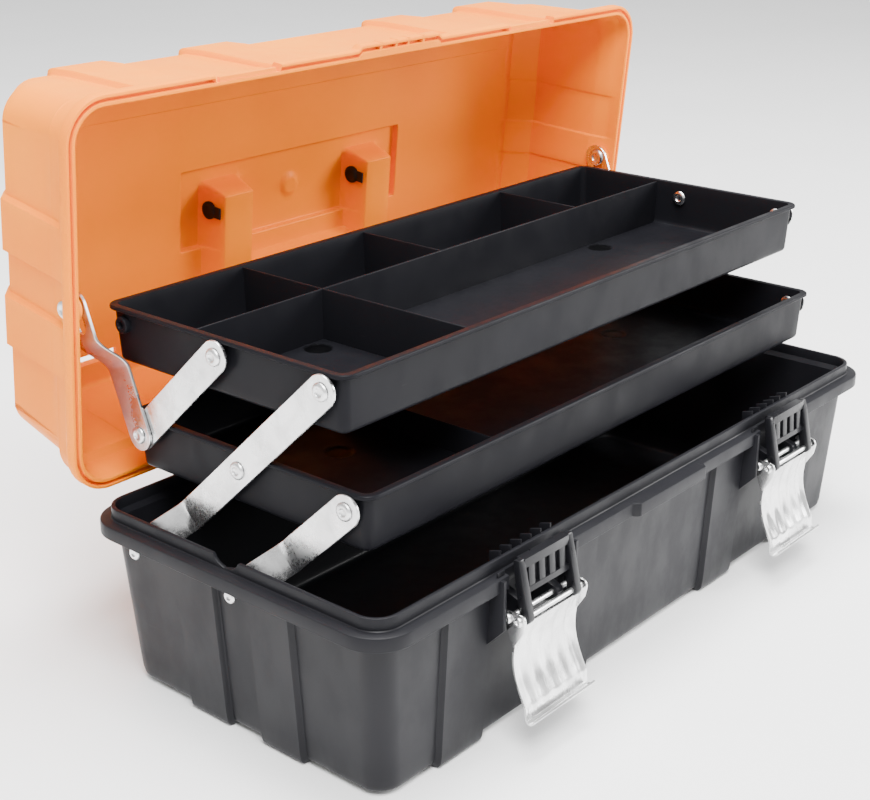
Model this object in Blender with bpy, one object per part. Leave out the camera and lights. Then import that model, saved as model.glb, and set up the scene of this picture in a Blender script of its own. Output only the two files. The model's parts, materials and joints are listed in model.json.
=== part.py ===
"""Cantilever tool box: moulded tub, hinged lid, two lifting trays on steel links, two latches.

All sizes are in metres, +Z up, front of the box towards -Y, length along X.
The box is built in its open pose: lid raised, trays carried up over the tub.
"""
import math

import bmesh
import bpy
from mathutils import Matrix, Vector

# ---------------------------------------------------------------- overall sizes
LENGTH = 0.500            # flange of the tub, outside, along X
WIDTH = 0.2224            # flange of the tub, outside, along Y
TUB_H = 0.1019            # top face of the flange above the ground
FOOT_H = 0.002            # feet under the floor
FOOT_PAD_R = 0.020        # round foot under the middle of the floor
LID_H = 0.0905            # lid rim to its top panel, outside
TAB_X = (-0.0390, 0.0350)  # thickened middle of the front lip of the lid
TAB_PROUD = 0.0035
WALL = 0.0025             # wall thickness of the mouldings
GAP = 0.0003              # air left between touching pieces
CORNER_R = 0.014          # upright corner radius of the tub
ARC_STEPS = 5             # segments in a quarter turn of a moulded corner
ROUND_STEPS = 16          # segments in a full turn of a small round

# ---------------------------------------------------------------- tub
FLANGE_W = 0.009          # ledge around the tub
FLANGE_T = 0.0025
SKIRT_DROP = 0.008        # down-turned edge of the ledge
SKIRT_T = 0.002
UPSTAND_H = 0.007         # low wall above the ledge that the lid drops over
UPSTAND_INSET = 0.0070
DRAFT_X = 0.007           # how much the end walls lean in towards the floor
DRAFT_Y = 0.0056
BAND_PROUD = 0.003        # raised bands on the walls
BAND_W = 0.036
FRONT_BANDS = (-0.175, -0.080, 0.080, 0.175)
END_BANDS = (-0.027, 0.029)
END_BAND_W = 0.031

# ---------------------------------------------------------------- lid
LID_OVER = 0.0016         # lid rim beyond the flange
LIP_W = 0.0065            # flat rim of the lid
LIP_H = 0.0070
GROOVE_W = 0.0024
GROOVE_D = 0.0045
SHOULDER_DEP = 0.072      # where the end walls turn into the sloping shoulders
SHOULDER_RUN = 0.015
REAR_STEP = 0.024         # tall rear skirt that carries the hinges
LID_BAND_PROUD = 0.0035
PLATEAU_X = 0.102         # raised field around the handle, half length
PLATEAU_Y = 0.028         # half depth
PLATEAU_H = 0.004
SLOTS = ((0.136, -0.0805, 0.027, 0.009), (0.170, 0.0785, 0.036, 0.007))

# ---------------------------------------------------------------- hinge and lid angle
HINGE_Y = 0.1175
HINGE_Z = TUB_H + 0.0029
LID_OPEN = 84.6           # degrees from closed to the built pose
HINGE_XS = (-0.150, 0.150)
KNUCKLE_R = 0.0045
KNUCKLE_W = 0.0100
LID_KNUCKLE_W = 0.0134
HINGE_PIN_R = 0.0020

# ---------------------------------------------------------------- trays and linkage
TRAY_L = 0.4424           # over the rim
TRAY_W = 0.1796
TRAY_H = 0.0324
TRAY_WALL = 0.0020
TRAY_LIP = 0.0030         # rim overhang
TRAY_LIP_H = 0.0040
TRAY_DRAFT = 0.0012
PIVOT_DROP = 0.0097       # pivots below the tray rim
PIVOT_SPACING = 0.076     # rear, middle and front pivot of a tray, also the two tub pivots
TUB_PIVOT = (0.0754, TUB_H - 0.0136)   # rear pivot of the tub (Y, Z)
ARM_LOW = 0.0875          # tub pivot to middle tray pivot
ARM_HIGH = 0.0853         # middle tray pivot to upper tray pivot
ARM_OPEN = 136.5          # degrees from +Y in the built pose
STRAP_W = 0.0178
STRAP_T = 0.0015
BRACKET_T = 0.0018
BRACKET_OPEN = 68.79      # degrees from +Y in the built pose
BRACKET_CRANK = (0.037, 0.058)          # along the bracket from the tray pivot
ARM_CRANK = (0.010, 0.0345)            # along the arm from the tub pivot
SLOT_HALF = 0.0060        # travel of the lid stud in the slotted end of the bracket
SLOT_MID = 0.07035
SLOT_SIDE = 0.0013        # room beside the stud in the slot
LID_STUD = (0.1090, 0.0105)            # from the rear rim, and above the rim plane

SHANK_R = 0.0024          # rivets
HEAD_R = 0.0050
OUTER_HEAD_R = 0.0038     # head outside the tub wall
HEAD_T = 0.0015
HOLE_R = SHANK_R + GAP
BOSS_R = 0.0075

# ---------------------------------------------------------------- upper tray compartments
DIVIDER_T = 0.0016
LONG_DIVIDER_Y = 0.021
CROSS_DIVIDER_X = -0.1225
REAR_DIVIDERS_X = (-0.020, 0.119)
MIDDLE_DIVIDER_X = -0.094
MIDDLE_DIVIDER_H = 0.016

# ---------------------------------------------------------------- handle
HANDLE_X = 0.065          # arms each side of the middle
HANDLE_ARM_W = 0.021
HANDLE_T = 0.010
HANDLE_REACH = 0.055
HANDLE_DEP = 0.0830       # axle above the lid rim
HANDLE_GRIP_W = 0.020
AXLE_R = 0.0025
AXLE_HEAD_R = 0.0058
AXLE_TAIL_W = 0.0072       # flat tail from the head to the edge of the pocket
AXLE_TAIL_T = 0.0014
POCKET_FLOOR = 0.0750
POCKET_WALL = 0.0024
POCKET_FRONT = -0.011
POCKET_REAR = 0.0680
POCKET_SIDE = 0.0018      # room each side of an arm

# ---------------------------------------------------------------- latches
LATCH_XS = (-0.1275, 0.1275)
LEVER_W = 0.0546
LEVER_T = 0.0012
LATCH_Y = -0.1130         # lever pin
LATCH_Z = TUB_H - 0.0230
HOOK_Y = -0.1200          # hook pin
HOOK_ARM_W = 0.0048
HOOK_TOP = TUB_H + 0.0085
LATCH_PIN_R = 0.0015
HOOK_HALF = 0.0230        # half width of the hook
LUG_X = 0.0130            # tub lugs each side of the latch middle
LUG_W = 0.0055
NOTCH_W = 0.0485          # gap in the flange and in the lid rim at a latch
LEVER_DROP = 0.0530
CATCH_T = 0.0022          # lid rim left behind the notch
CATCH_OUT = 0.0027        # rib on it that the hook nose pulls on

RIM_Z = TUB_H + GAP
HALF_L = LENGTH / 2
HALF_W = WIDTH / 2
LID_HL = HALF_L + LID_OVER
LID_HW = HALF_W + LID_OVER / 3
WALL_X = HALF_L - FLANGE_W
WALL_Y = HALF_W - FLANGE_W
FLOOR_Z = FOOT_H + WALL


def material(name, colour, metallic, roughness):
    mat = bpy.data.materials.new(name)
    mat.use_nodes = True
    shader = mat.node_tree.nodes["Principled BSDF"]
    shader.inputs["Base Color"].default_value = (*colour, 1.0)
    shader.inputs["Metallic"].default_value = metallic
    shader.inputs["Roughness"].default_value = roughness
    return mat


# ---------------------------------------------------------------- mesh helpers
def round_rect(x0, x1, y0, y1, r):
    pts = []
    corners = ((x1 - r, y1 - r, 0), (x0 + r, y1 - r, 90), (x0 + r, y0 + r, 180), (x1 - r, y0 + r, 270))
    for cx, cy, a0 in corners:
        for k in range(ARC_STEPS + 1):
            a = math.radians(a0 + 90 * k / ARC_STEPS)
            pts.append((cx + r * math.cos(a), cy + r * math.sin(a)))
    return pts


def skin(rings):
    """Closed body through a list of point rings, capped at both ends."""
    bm = bmesh.new()
    loops = [[bm.verts.new(p) for p in ring] for ring in rings]
    n = len(loops[0])
    for a, b in zip(loops, loops[1:]):
        for i in range(n):
            bm.faces.new((a[i], a[(i + 1) % n], b[(i + 1) % n], b[i]))
    bm.faces.new(loops[0])
    bm.faces.new(loops[-1])
    bmesh.ops.recalc_face_normals(bm, faces=bm.faces)
    return bm


def shell(sections):
    """Body through rounded rectangles given as (half length, front Y, rear Y, radius, Z)."""
    return skin([[(x, y, z) for x, y in round_rect(-hx, hx, y0, y1, r)] for hx, y0, y1, r, z in sections])


def prism(outline, axis, lo, hi):
    """Outline in the plane across the axis, carried from lo to hi along it."""
    place = {
        "X": lambda p, q, t: (t, p, q),
        "Y": lambda p, q, t: (p, t, q),
        "Z": lambda p, q, t: (p, q, t),
    }[axis]
    return skin([[place(p, q, t) for p, q in outline] for t in (lo, hi)])


def box(x0, x1, y0, y1, z0, z1):
    return prism(((x0, y0), (x1, y0), (x1, y1), (x0, y1)), "Z", z0, z1)


def circle(cy, cz, r, steps=ROUND_STEPS):
    angles = [math.tau * k / steps for k in range(steps)]
    return [(cy + r * math.cos(a), cz + r * math.sin(a)) for a in angles]


def capsule(a, b, r, steps=ROUND_STEPS // 2):
    """Outline of a slot with round ends between two points."""
    heading = math.atan2(b[1] - a[1], b[0] - a[0])
    pts = []
    for centre, start in ((b, heading - math.pi / 2), (a, heading + math.pi / 2)):
        for k in range(steps + 1):
            t = start + math.pi * k / steps
            pts.append((centre[0] + r * math.cos(t), centre[1] + r * math.sin(t)))
    return pts


def turned(profile, cy, cz):
    """Solid of revolution about an X axis line; profile is (x, radius) from end to end."""
    return skin([[(x, y, z) for y, z in circle(cy, cz, r)] for x, r in profile])


def joined(parts):
    bm = bmesh.new()
    for part in parts:
        mesh = bpy.data.meshes.new("joined")
        part.to_mesh(mesh)
        part.free()
        bm.from_mesh(mesh)
        bpy.data.meshes.remove(mesh)
    return bm


def combine(body, other, operation):
    """Exact boolean of two meshes held in bmesh form."""
    objs = []
    for bm in (body, other):
        mesh = bpy.data.meshes.new("work")
        bmesh.ops.recalc_face_normals(bm, faces=bm.faces)
        bm.to_mesh(mesh)
        bm.free()
        objs.append(bpy.data.objects.new("work", mesh))
        bpy.context.scene.collection.objects.link(objs[-1])
    mod = objs[0].modifiers.new("bool", "BOOLEAN")
    mod.operation, mod.solver, mod.object, mod.use_self = operation, "EXACT", objs[1], True
    graph = bpy.context.evaluated_depsgraph_get()
    result = bmesh.new()
    result.from_mesh(objs[0].evaluated_get(graph).to_mesh())
    for obj in objs:
        mesh = obj.data
        bpy.data.objects.remove(obj)
        bpy.data.meshes.remove(mesh)
    bmesh.ops.remove_doubles(result, verts=result.verts, dist=1e-6)
    bmesh.ops.dissolve_degenerate(result, edges=result.edges, dist=1e-6)
    return result


def finish(name, bm, mat, origin=(0.0, 0.0, 0.0)):
    """Make the named object with its origin at the given point."""
    bmesh.ops.translate(bm, verts=bm.verts, vec=-Vector(origin))
    bmesh.ops.recalc_face_normals(bm, faces=bm.faces)
    mesh = bpy.data.meshes.new(name)
    bm.to_mesh(mesh)
    bm.free()
    mesh.materials.append(mat)
    obj = bpy.data.objects.new(name, mesh)
    obj.location = origin
    bpy.context.scene.collection.objects.link(obj)
    return obj


def mirrored(bm):
    bmesh.ops.scale(bm, vec=(-1, 1, 1), verts=bm.verts)
    return bm


def opened(bm):
    """Swing a body from the closed lid pose to the built pose."""
    bmesh.ops.rotate(bm, cent=(0, HINGE_Y, HINGE_Z), verts=bm.verts,
                     matrix=Matrix.Rotation(math.radians(-LID_OPEN), 3, "X"))
    return bm


def open_point(y, z):
    v = Matrix.Rotation(math.radians(-LID_OPEN), 3, "X") @ Vector((0, y - HINGE_Y, z - HINGE_Z))
    return HINGE_Y + v.y, HINGE_Z + v.z


def along(point, angle, distance):
    a = math.radians(angle)
    return point[0] + distance * math.cos(a), point[1] + distance * math.sin(a)


# ---------------------------------------------------------------- pivots in the built pose
BASE_REAR = TUB_PIVOT
BASE_FRONT = (BASE_REAR[0] - PIVOT_SPACING, BASE_REAR[1])
MID_PIVOT = along(BASE_REAR, ARM_OPEN, ARM_LOW)
MID_FRONT = (MID_PIVOT[0] - PIVOT_SPACING, MID_PIVOT[1])
MID_REAR = (MID_PIVOT[0] + PIVOT_SPACING, MID_PIVOT[1])
TOP_FRONT = along(MID_PIVOT, ARM_OPEN, ARM_HIGH)
TOP_PIVOT = (TOP_FRONT[0] + PIVOT_SPACING, TOP_FRONT[1])
LID_PIVOT = open_point(LID_HW - LID_STUD[0], RIM_Z + LID_STUD[1])

STRAP_X = TRAY_L / 2 + 0.0004          # inner face of the straps beside the trays
BRACKET_X = STRAP_X + STRAP_T + GAP    # inner face of the bracket at the tray


def tub_wall(z):
    """Outside half length and half width of the tub wall at a height."""
    k = (TUB_H - z) / (TUB_H - FOOT_H)
    return WALL_X - DRAFT_X * k, WALL_Y - DRAFT_Y * k


ARM_TUB_X = tub_wall(TUB_PIVOT[1])[0] - WALL - 0.0008 - STRAP_T   # inner face of an arm at the tub
BRACKET_LID_X = LID_HL - 0.0134        # inner face of the bracket at the lid wall


# ---------------------------------------------------------------- tub
def build_tub(mat):
    fx, fy = HALF_L, HALF_W
    under = TUB_H - FLANGE_T
    low, high = tub_wall(FOOT_H), tub_wall(under)
    knee = tub_wall(FOOT_H + 0.004)
    ux, uy = fx - UPSTAND_INSET, fy - UPSTAND_INSET
    r = CORNER_R

    def ring(hx, hy, radius, z):
        return hx, -hy, hy, radius, z

    body = shell([
        ring(low[0] - 0.004, low[1] - 0.004, r - 0.004, FOOT_H),
        ring(knee[0], knee[1], r, FOOT_H + 0.004),
        ring(high[0], high[1], r, under),
        ring(fx - SKIRT_T, fy - SKIRT_T, r + FLANGE_W - SKIRT_T, under),
        ring(fx - SKIRT_T, fy - SKIRT_T, r + FLANGE_W - SKIRT_T, TUB_H - SKIRT_DROP),
        ring(fx, fy, r + FLANGE_W, TUB_H - SKIRT_DROP),
        ring(fx, fy, r + FLANGE_W, TUB_H - 0.0006),
        ring(fx - 0.0006, fy - 0.0006, r + FLANGE_W - 0.0006, TUB_H),
        ring(ux, uy, r + 0.001, TUB_H),
        ring(ux, uy, r + 0.001, TUB_H + UPSTAND_H - 0.0006),
        ring(ux - 0.0006, uy - 0.0006, r + 0.0004, TUB_H + UPSTAND_H),
    ])
    extras = []
    for sign in (-1, 1):
        for cx in FRONT_BANDS:
            outline = [(low[1] - 0.010, 0.0), (low[1] + BAND_PROUD - 0.004, 0.0),
                       (knee[1] + BAND_PROUD, FOOT_H + 0.003), (high[1] + BAND_PROUD, under + 0.001),
                       (high[1] - 0.001, under + 0.001), (knee[1] - 0.001, FOOT_H + 0.006),
                       (low[1] - 0.010, FOOT_H + 0.001)]
            extras.append(prism([(sign * p, q) for p, q in outline], "X", cx - BAND_W / 2, cx + BAND_W / 2))
        for cy in END_BANDS:
            outline = [(low[0] - 0.010, 0.0), (low[0] + BAND_PROUD - 0.004, 0.0),
                       (knee[0] + BAND_PROUD, FOOT_H + 0.003), (high[0] + BAND_PROUD, under + 0.001),
                       (high[0] - 0.001, under + 0.001), (knee[0] - 0.001, FOOT_H + 0.006),
                       (low[0] - 0.010, FOOT_H + 0.001)]
            extras.append(prism([(sign * p, q) for p, q in outline], "Y",
                                cy - END_BAND_W / 2, cy + END_BAND_W / 2))
    extras.append(prism(circle(0.0, 0.0, FOOT_PAD_R), "Z", 0.0, FLOOR_Z - 0.001))
    body = combine(body, joined(extras), "UNION")

    fittings = []
    for cx in LATCH_XS:
        for sign in (-1, 1):
            x = cx + sign * LUG_X
            wall = -tub_wall(LATCH_Z)[1] + 0.001
            lug = [(wall, LATCH_Z + 0.008), (wall, LATCH_Z - 0.012), (LATCH_Y - 0.001, LATCH_Z - 0.0036),
                   (LATCH_Y - 0.0034, LATCH_Z - 0.0012), (LATCH_Y - 0.0034, LATCH_Z + 0.0012),
                   (LATCH_Y - 0.001, LATCH_Z + 0.0036)]
            fittings.append(prism(lug, "X", x - LUG_W / 2, x + LUG_W / 2))
            x = cx + sign * (LEVER_W / 2 + 0.0036)
            cheek = [(wall + 0.002, LATCH_Z - 0.022), (wall - 0.0025, LATCH_Z - 0.018),
                     (-HALF_W - 0.0025, LATCH_Z - 0.006), (-HALF_W - 0.0025, TUB_H),
                     (-HALF_W + 0.0035, TUB_H), (wall + 0.002, TUB_H - 0.001)]
            fittings.append(prism(cheek, "X", x - 0.0012, x + 0.0012))
    for cx in HINGE_XS:
        for sign in (-1, 1):
            x = cx + sign * (LID_KNUCKLE_W / 2 + GAP + KNUCKLE_W / 2)
            low_z = TUB_H - SKIRT_DROP + 0.0005
            outline = [(HALF_W - 0.001, low_z), (HINGE_Y + 0.001, low_z)]
            outline += [along((HINGE_Y, HINGE_Z), a, KNUCKLE_R) for a in range(-45, 181, 15)]
            outline += [(HINGE_Y - KNUCKLE_R, TUB_H), (HALF_W - 0.001, TUB_H - 0.0002)]
            fittings.append(prism(outline, "X", x - KNUCKLE_W / 2, x + KNUCKLE_W / 2))
    body = combine(body, joined(fittings), "UNION")

    inner = shell([
        ring(low[0] - WALL - 0.004, low[1] - WALL - 0.004, r - 0.006, FLOOR_Z),
        ring(knee[0] - WALL, knee[1] - WALL, r - 0.002, FLOOR_Z + 0.004),
        ring(high[0] - WALL, high[1] - WALL, r - 0.002, under),
        ring(ux - WALL, uy - WALL, r - 0.0015, TUB_H + 0.002),
        ring(ux - WALL, uy - WALL, r - 0.0015, TUB_H + 0.020),
    ])
    body = combine(body, inner, "DIFFERENCE")

    notch = circle(LID_HW - LID_STUD[0], TUB_H + UPSTAND_H + 0.0045, 0.0105)
    cuts = [prism(notch, "X", s * ux - 0.004, s * ux + 0.004)
            for s in (-1, 1)]
    for cx in LATCH_XS:
        cuts.append(box(cx - NOTCH_W / 2, cx + NOTCH_W / 2, -HALF_W - 0.004, -HALF_W + UPSTAND_INSET - 0.0012,
                        TUB_H - SKIRT_DROP - 0.002, TUB_H + 0.001))
        bore = circle(LATCH_Y, LATCH_Z, LATCH_PIN_R + GAP, 16)
        cuts.append(prism(bore, "X", cx - LUG_X - 0.006, cx + LUG_X + 0.006))
    for cx in HINGE_XS:
        reach = LID_KNUCKLE_W / 2 + KNUCKLE_W + 0.001
        cuts.append(prism(circle(HINGE_Y, HINGE_Z, HINGE_PIN_R + GAP, 16), "X", cx - reach, cx + reach))
    for y, z in (BASE_REAR, BASE_FRONT):
        cuts.append(prism(circle(y, z, HOLE_R, 16), "X", -HALF_L - 0.002, -ARM_TUB_X))
        cuts.append(prism(circle(y, z, HOLE_R, 16), "X", ARM_TUB_X, HALF_L + 0.002))
    body = combine(body, joined(cuts), "DIFFERENCE")
    finish("base_tub", body, mat)


# ---------------------------------------------------------------- lid
def build_lid(mat):
    def z(dep):
        return RIM_Z + dep

    lx, ly = LID_HL, LID_HW
    top = LID_H
    end_top = lx - 0.0136 - SHOULDER_RUN
    outer = [
        (lx - 0.0005, -ly + 0.0005, ly - 0.0005, 0.0245, z(0)),
        (lx, -ly, ly, 0.025, z(0.0006)),
        (lx - 0.0006, -ly + 0.0006, ly - 0.0006, 0.0244, z(LIP_H)),
        (lx - 0.0050, -ly + 0.0050, ly - 0.0010, 0.021, z(LIP_H + 0.0010)),
        (lx - 0.0082, -ly + 0.0072, ly - 0.0014, 0.019, z(REAR_STEP)),
        (lx - 0.0084, -ly + 0.0074, ly - 0.0092, 0.018, z(REAR_STEP + 0.001)),
        (lx - 0.0136, -ly + 0.0105, ly - 0.0128, 0.018, z(SHOULDER_DEP)),
        (end_top, -ly + 0.0122, ly - 0.0142, 0.017, z(top - 0.003)),
        (end_top - 0.004, -ly + 0.0152, ly - 0.0172, 0.015, z(top)),
    ]
    body = shell(outer)
    extras = []
    p = LID_BAND_PROUD
    for cx in FRONT_BANDS:
        outline = [(-ly + 0.0030, z(LIP_H)), (-ly + 0.0105 - p, z(SHOULDER_DEP)),
                   (-ly + 0.0122 - p, z(top - 0.001)), (-ly + 0.0160 - p, z(top + p)),
                   (ly - 0.0175 + p, z(top + p)), (ly - 0.0142 + p, z(top - 0.002)),
                   (ly - 0.0092 + p, z(REAR_STEP + 0.0012)), (ly - 0.0120, z(REAR_STEP + 0.0012)),
                   (ly - 0.0190, z(top - 0.004)), (-ly + 0.0190, z(top - 0.004)), (-ly + 0.0100, z(LIP_H))]
        extras.append(prism(outline, "X", cx - BAND_W / 2, cx + BAND_W / 2))
    body = combine(body, joined(extras), "UNION")
    extras = []
    for sign in (-1, 1):
        for cy in END_BANDS:
            outline = [(lx - 0.0030, z(LIP_H)), (lx - 0.0136 + p, z(SHOULDER_DEP)),
                       (end_top + p * 0.6, z(top - 0.001)), (end_top - 0.006, z(top - 0.001)),
                       (lx - 0.0100, z(LIP_H))]
            extras.append(prism([(sign * a, b) for a, b in outline], "Y",
                                cy - END_BAND_W / 2, cy + END_BAND_W / 2))
    extras.append(shell([(PLATEAU_X + 0.003, -PLATEAU_Y - 0.003, PLATEAU_Y + 0.003, 0.006, z(top - 0.003)),
                         (PLATEAU_X, -PLATEAU_Y, PLATEAU_Y, 0.006, z(top + PLATEAU_H))]))
    body = combine(body, joined(extras), "UNION")
    extras = []
    for cx in HINGE_XS:
        outline = [(ly - 0.0030, RIM_Z + 0.0008), (HINGE_Y - KNUCKLE_R, RIM_Z + 0.0008)]
        outline += [along((HINGE_Y, HINGE_Z), a, KNUCKLE_R) for a in range(195, 451, 15)]
        outline += [(ly - 0.0030, RIM_Z + 0.0130)]
        extras.append(prism(outline, "X", cx - LID_KNUCKLE_W / 2, cx + LID_KNUCKLE_W / 2))
    extras.append(box(*TAB_X, -ly - TAB_PROUD, -ly + 0.003, z(0.0002), z(LIP_H - 0.0004)))
    body = combine(body, joined(extras), "UNION")

    w = WALL
    inner = [
        (lx - LIP_W, -ly + LIP_W, ly - LIP_W, 0.018, z(-0.002)),
        (lx - LIP_W, -ly + LIP_W, ly - LIP_W, 0.018, z(LIP_H)),
        (lx - 0.0050 - w, -ly + 0.0050 + w, ly - LIP_W, 0.0185, z(LIP_H + 0.0020)),
        (lx - 0.0082 - w, -ly + 0.0072 + w, ly - LIP_W, 0.0165, z(REAR_STEP - 0.002)),
        (lx - 0.0084 - w, -ly + 0.0074 + w, ly - 0.0092 - w, 0.0155, z(REAR_STEP)),
        (lx - 0.0136 - w, -ly + 0.0105 + w, ly - 0.0128 - w, 0.0155, z(SHOULDER_DEP - 0.0012)),
        (end_top - w, -ly + 0.0122 + w, ly - 0.0142 - w, 0.0145, z(top - 0.0055)),
        (end_top - w - 0.003, -ly + 0.0150 + w, ly - 0.0170 - w, 0.0125, z(top - w)),
    ]
    body = combine(body, shell(inner), "DIFFERENCE")
    field = shell([(PLATEAU_X - w + 0.001, -PLATEAU_Y + w - 0.001, PLATEAU_Y - w + 0.001, 0.004,
                    z(top - w - 0.001)),
                   (PLATEAU_X - w, -PLATEAU_Y + w, PLATEAU_Y - w, 0.004, z(top + PLATEAU_H - w))])
    body = combine(body, field, "DIFFERENCE")

    pocket_half = HANDLE_ARM_W / 2 + POCKET_SIDE
    t = POCKET_WALL
    floor_z, roof = z(POCKET_FLOOR), z(top + PLATEAU_H + 0.004)
    grip_y0 = HANDLE_REACH - HANDLE_GRIP_W / 2 - POCKET_SIDE
    wide = HANDLE_X + pocket_half
    solids = [(-wide, -HANDLE_X + pocket_half, POCKET_FRONT, POCKET_REAR),
              (HANDLE_X - pocket_half, wide, POCKET_FRONT, POCKET_REAR),
              (-HANDLE_X + pocket_half - t, HANDLE_X - pocket_half + t, grip_y0, POCKET_REAR)]
    blocks = [box(x0 - t, x1 + t, y0 - t, y1 + t, floor_z - t, z(top - 0.001))
              for x0, x1, y0, y1 in solids[:2]]
    blocks.append(box(solids[2][0], solids[2][1], grip_y0 - t, POCKET_REAR + t, floor_z - t, z(top - 0.001)))
    body = combine(body, joined(blocks), "UNION")
    for x0, x1, _, _ in solids[:2]:
        rise = box(x0 - t, x1 + t, POCKET_FRONT - t, PLATEAU_Y - w + 0.002,
                   z(top - 0.004), z(top + PLATEAU_H - 0.001))
        body = combine(body, rise, "UNION")
    pockets = [box(x0, x1, y0, y1, floor_z, roof) for x0, x1, y0, y1 in solids[:2]]
    pockets.append(box(solids[2][0] - 0.001, solids[2][1] + 0.001, grip_y0, POCKET_REAR, floor_z, roof))
    body = combine(body, joined(pockets), "DIFFERENCE")

    cuts = []
    for sign in (-1, 1):
        reach = pocket_half + POCKET_WALL + 0.003
        cuts.append(prism(circle(0, z(HANDLE_DEP), AXLE_R + GAP, 16), "X",
                          sign * HANDLE_X - reach, sign * HANDLE_X + reach))
        for cx, cy, sx, sy in SLOTS:
            cuts.append(box(sign * cx - sx / 2, sign * cx + sx / 2, cy - sy / 2, cy + sy / 2,
                            z(SHOULDER_DEP), z(top + 0.006)))
        lo, hi = sorted((sign * (BRACKET_LID_X + BRACKET_T), sign * (LID_HL + 0.002)))
        cuts.append(prism(circle(LID_HW - LID_STUD[0], z(LID_STUD[1]), HOLE_R, 16), "X", lo, hi))
        lo, hi = sorted((sign * (LID_HL - 0.0043), sign * (LID_HL + 0.002)))
        cuts.append(prism(circle(LID_HW - LID_STUD[0], z(LID_STUD[1]), HEAD_R + 0.0006, 16), "X", lo, hi))
    for cx in LATCH_XS:
        cuts.append(box(cx - NOTCH_W / 2, cx + NOTCH_W / 2, -ly - 0.003, -ly + LIP_W - CATCH_T,
                        z(-0.002), z(LIP_H + 0.0022)))
    for cx in HINGE_XS:
        bore = circle(HINGE_Y, HINGE_Z, HINGE_PIN_R + GAP, 16)
        cuts.append(prism(bore, "X", cx - LID_KNUCKLE_W, cx + LID_KNUCKLE_W))
    body = combine(body, joined(cuts), "DIFFERENCE")
    catches = [box(cx - NOTCH_W / 2 + 0.003, cx + NOTCH_W / 2 - 0.003, -ly + LIP_W - CATCH_T - CATCH_OUT,
                   -ly + LIP_W - CATCH_T / 2, z(0.0008), z(0.0028)) for cx in LATCH_XS]
    body = combine(body, joined(catches), "UNION")
    finish("lid", opened(body), mat, (0, HINGE_Y, HINGE_Z))


# ---------------------------------------------------------------- trays
def build_tray(name, pivot, mat, dividers):
    cy = pivot[0]
    rim = pivot[1] + PIVOT_DROP
    hx, hy = TRAY_L / 2, TRAY_W / 2

    def ring(ix, r, z):
        return hx - ix, cy - hy + ix, cy + hy - ix, r, rim + z

    lip, d, w = TRAY_LIP, TRAY_DRAFT, TRAY_WALL
    body = shell([
        ring(lip + d + 0.003, 0.003, -TRAY_H), ring(lip + d, 0.0055, -TRAY_H + 0.003),
        ring(lip, 0.0055, -TRAY_LIP_H), ring(0, 0.0085, -TRAY_LIP_H + 0.0004), ring(0, 0.0085, -0.0005),
        ring(0.0005, 0.0080, 0),
    ])
    bosses = []
    for sign in (-1, 1):
        for k in (-1, 0, 1):
            lo, hi = sorted((sign * (hx - lip - d - 0.0010), sign * (STRAP_X - GAP)))
            bosses.append(prism(circle(pivot[0] + k * PIVOT_SPACING, pivot[1], BOSS_R * 0.82), "X", lo, hi))
    body = combine(body, joined(bosses), "UNION")
    inner = shell([
        ring(lip + d + w + 0.003, 0.0015, -TRAY_H + w), ring(lip + d + w, 0.004, -TRAY_H + w + 0.003),
        ring(lip + w, 0.004, -TRAY_LIP_H), ring(lip + w - 0.0006, 0.0046, 0.004),
    ])
    body = combine(body, inner, "DIFFERENCE")
    walls = []
    for x0, x1, y0, y1, height in dividers:
        walls.append(box(x0, x1, cy + y0, cy + y1, rim - TRAY_H + w - 0.001, rim - TRAY_H + w + height))
    for wall in walls:
        body = combine(body, wall, "UNION")
    holes = []
    for sign in (-1, 1):
        for k in (-1, 0, 1):
            lo, hi = sorted((sign * (hx - 0.012), sign * (hx + 0.002)))
            holes.append(prism(circle(pivot[0] + k * PIVOT_SPACING, pivot[1], HOLE_R, 16), "X", lo, hi))
    body = combine(body, joined(holes), "DIFFERENCE")
    finish(name, body, mat, (0, pivot[0], pivot[1]))


def tray_dividers():
    hx = TRAY_L / 2 - TRAY_LIP - TRAY_WALL + 0.0005
    hy = TRAY_W / 2 - TRAY_LIP - TRAY_WALL + 0.0005
    t = DIVIDER_T / 2
    full = TRAY_H - TRAY_WALL - 0.0010
    upper = [(-hx, hx, LONG_DIVIDER_Y - t, LONG_DIVIDER_Y + t, full),
             (CROSS_DIVIDER_X - t, CROSS_DIVIDER_X + t, -hy, hy, full)]
    upper += [(x - t, x + t, LONG_DIVIDER_Y, hy, full) for x in REAR_DIVIDERS_X]
    middle = [(MIDDLE_DIVIDER_X - t, MIDDLE_DIVIDER_X + t, -hy, hy, MIDDLE_DIVIDER_H)]
    return upper, middle


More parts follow.
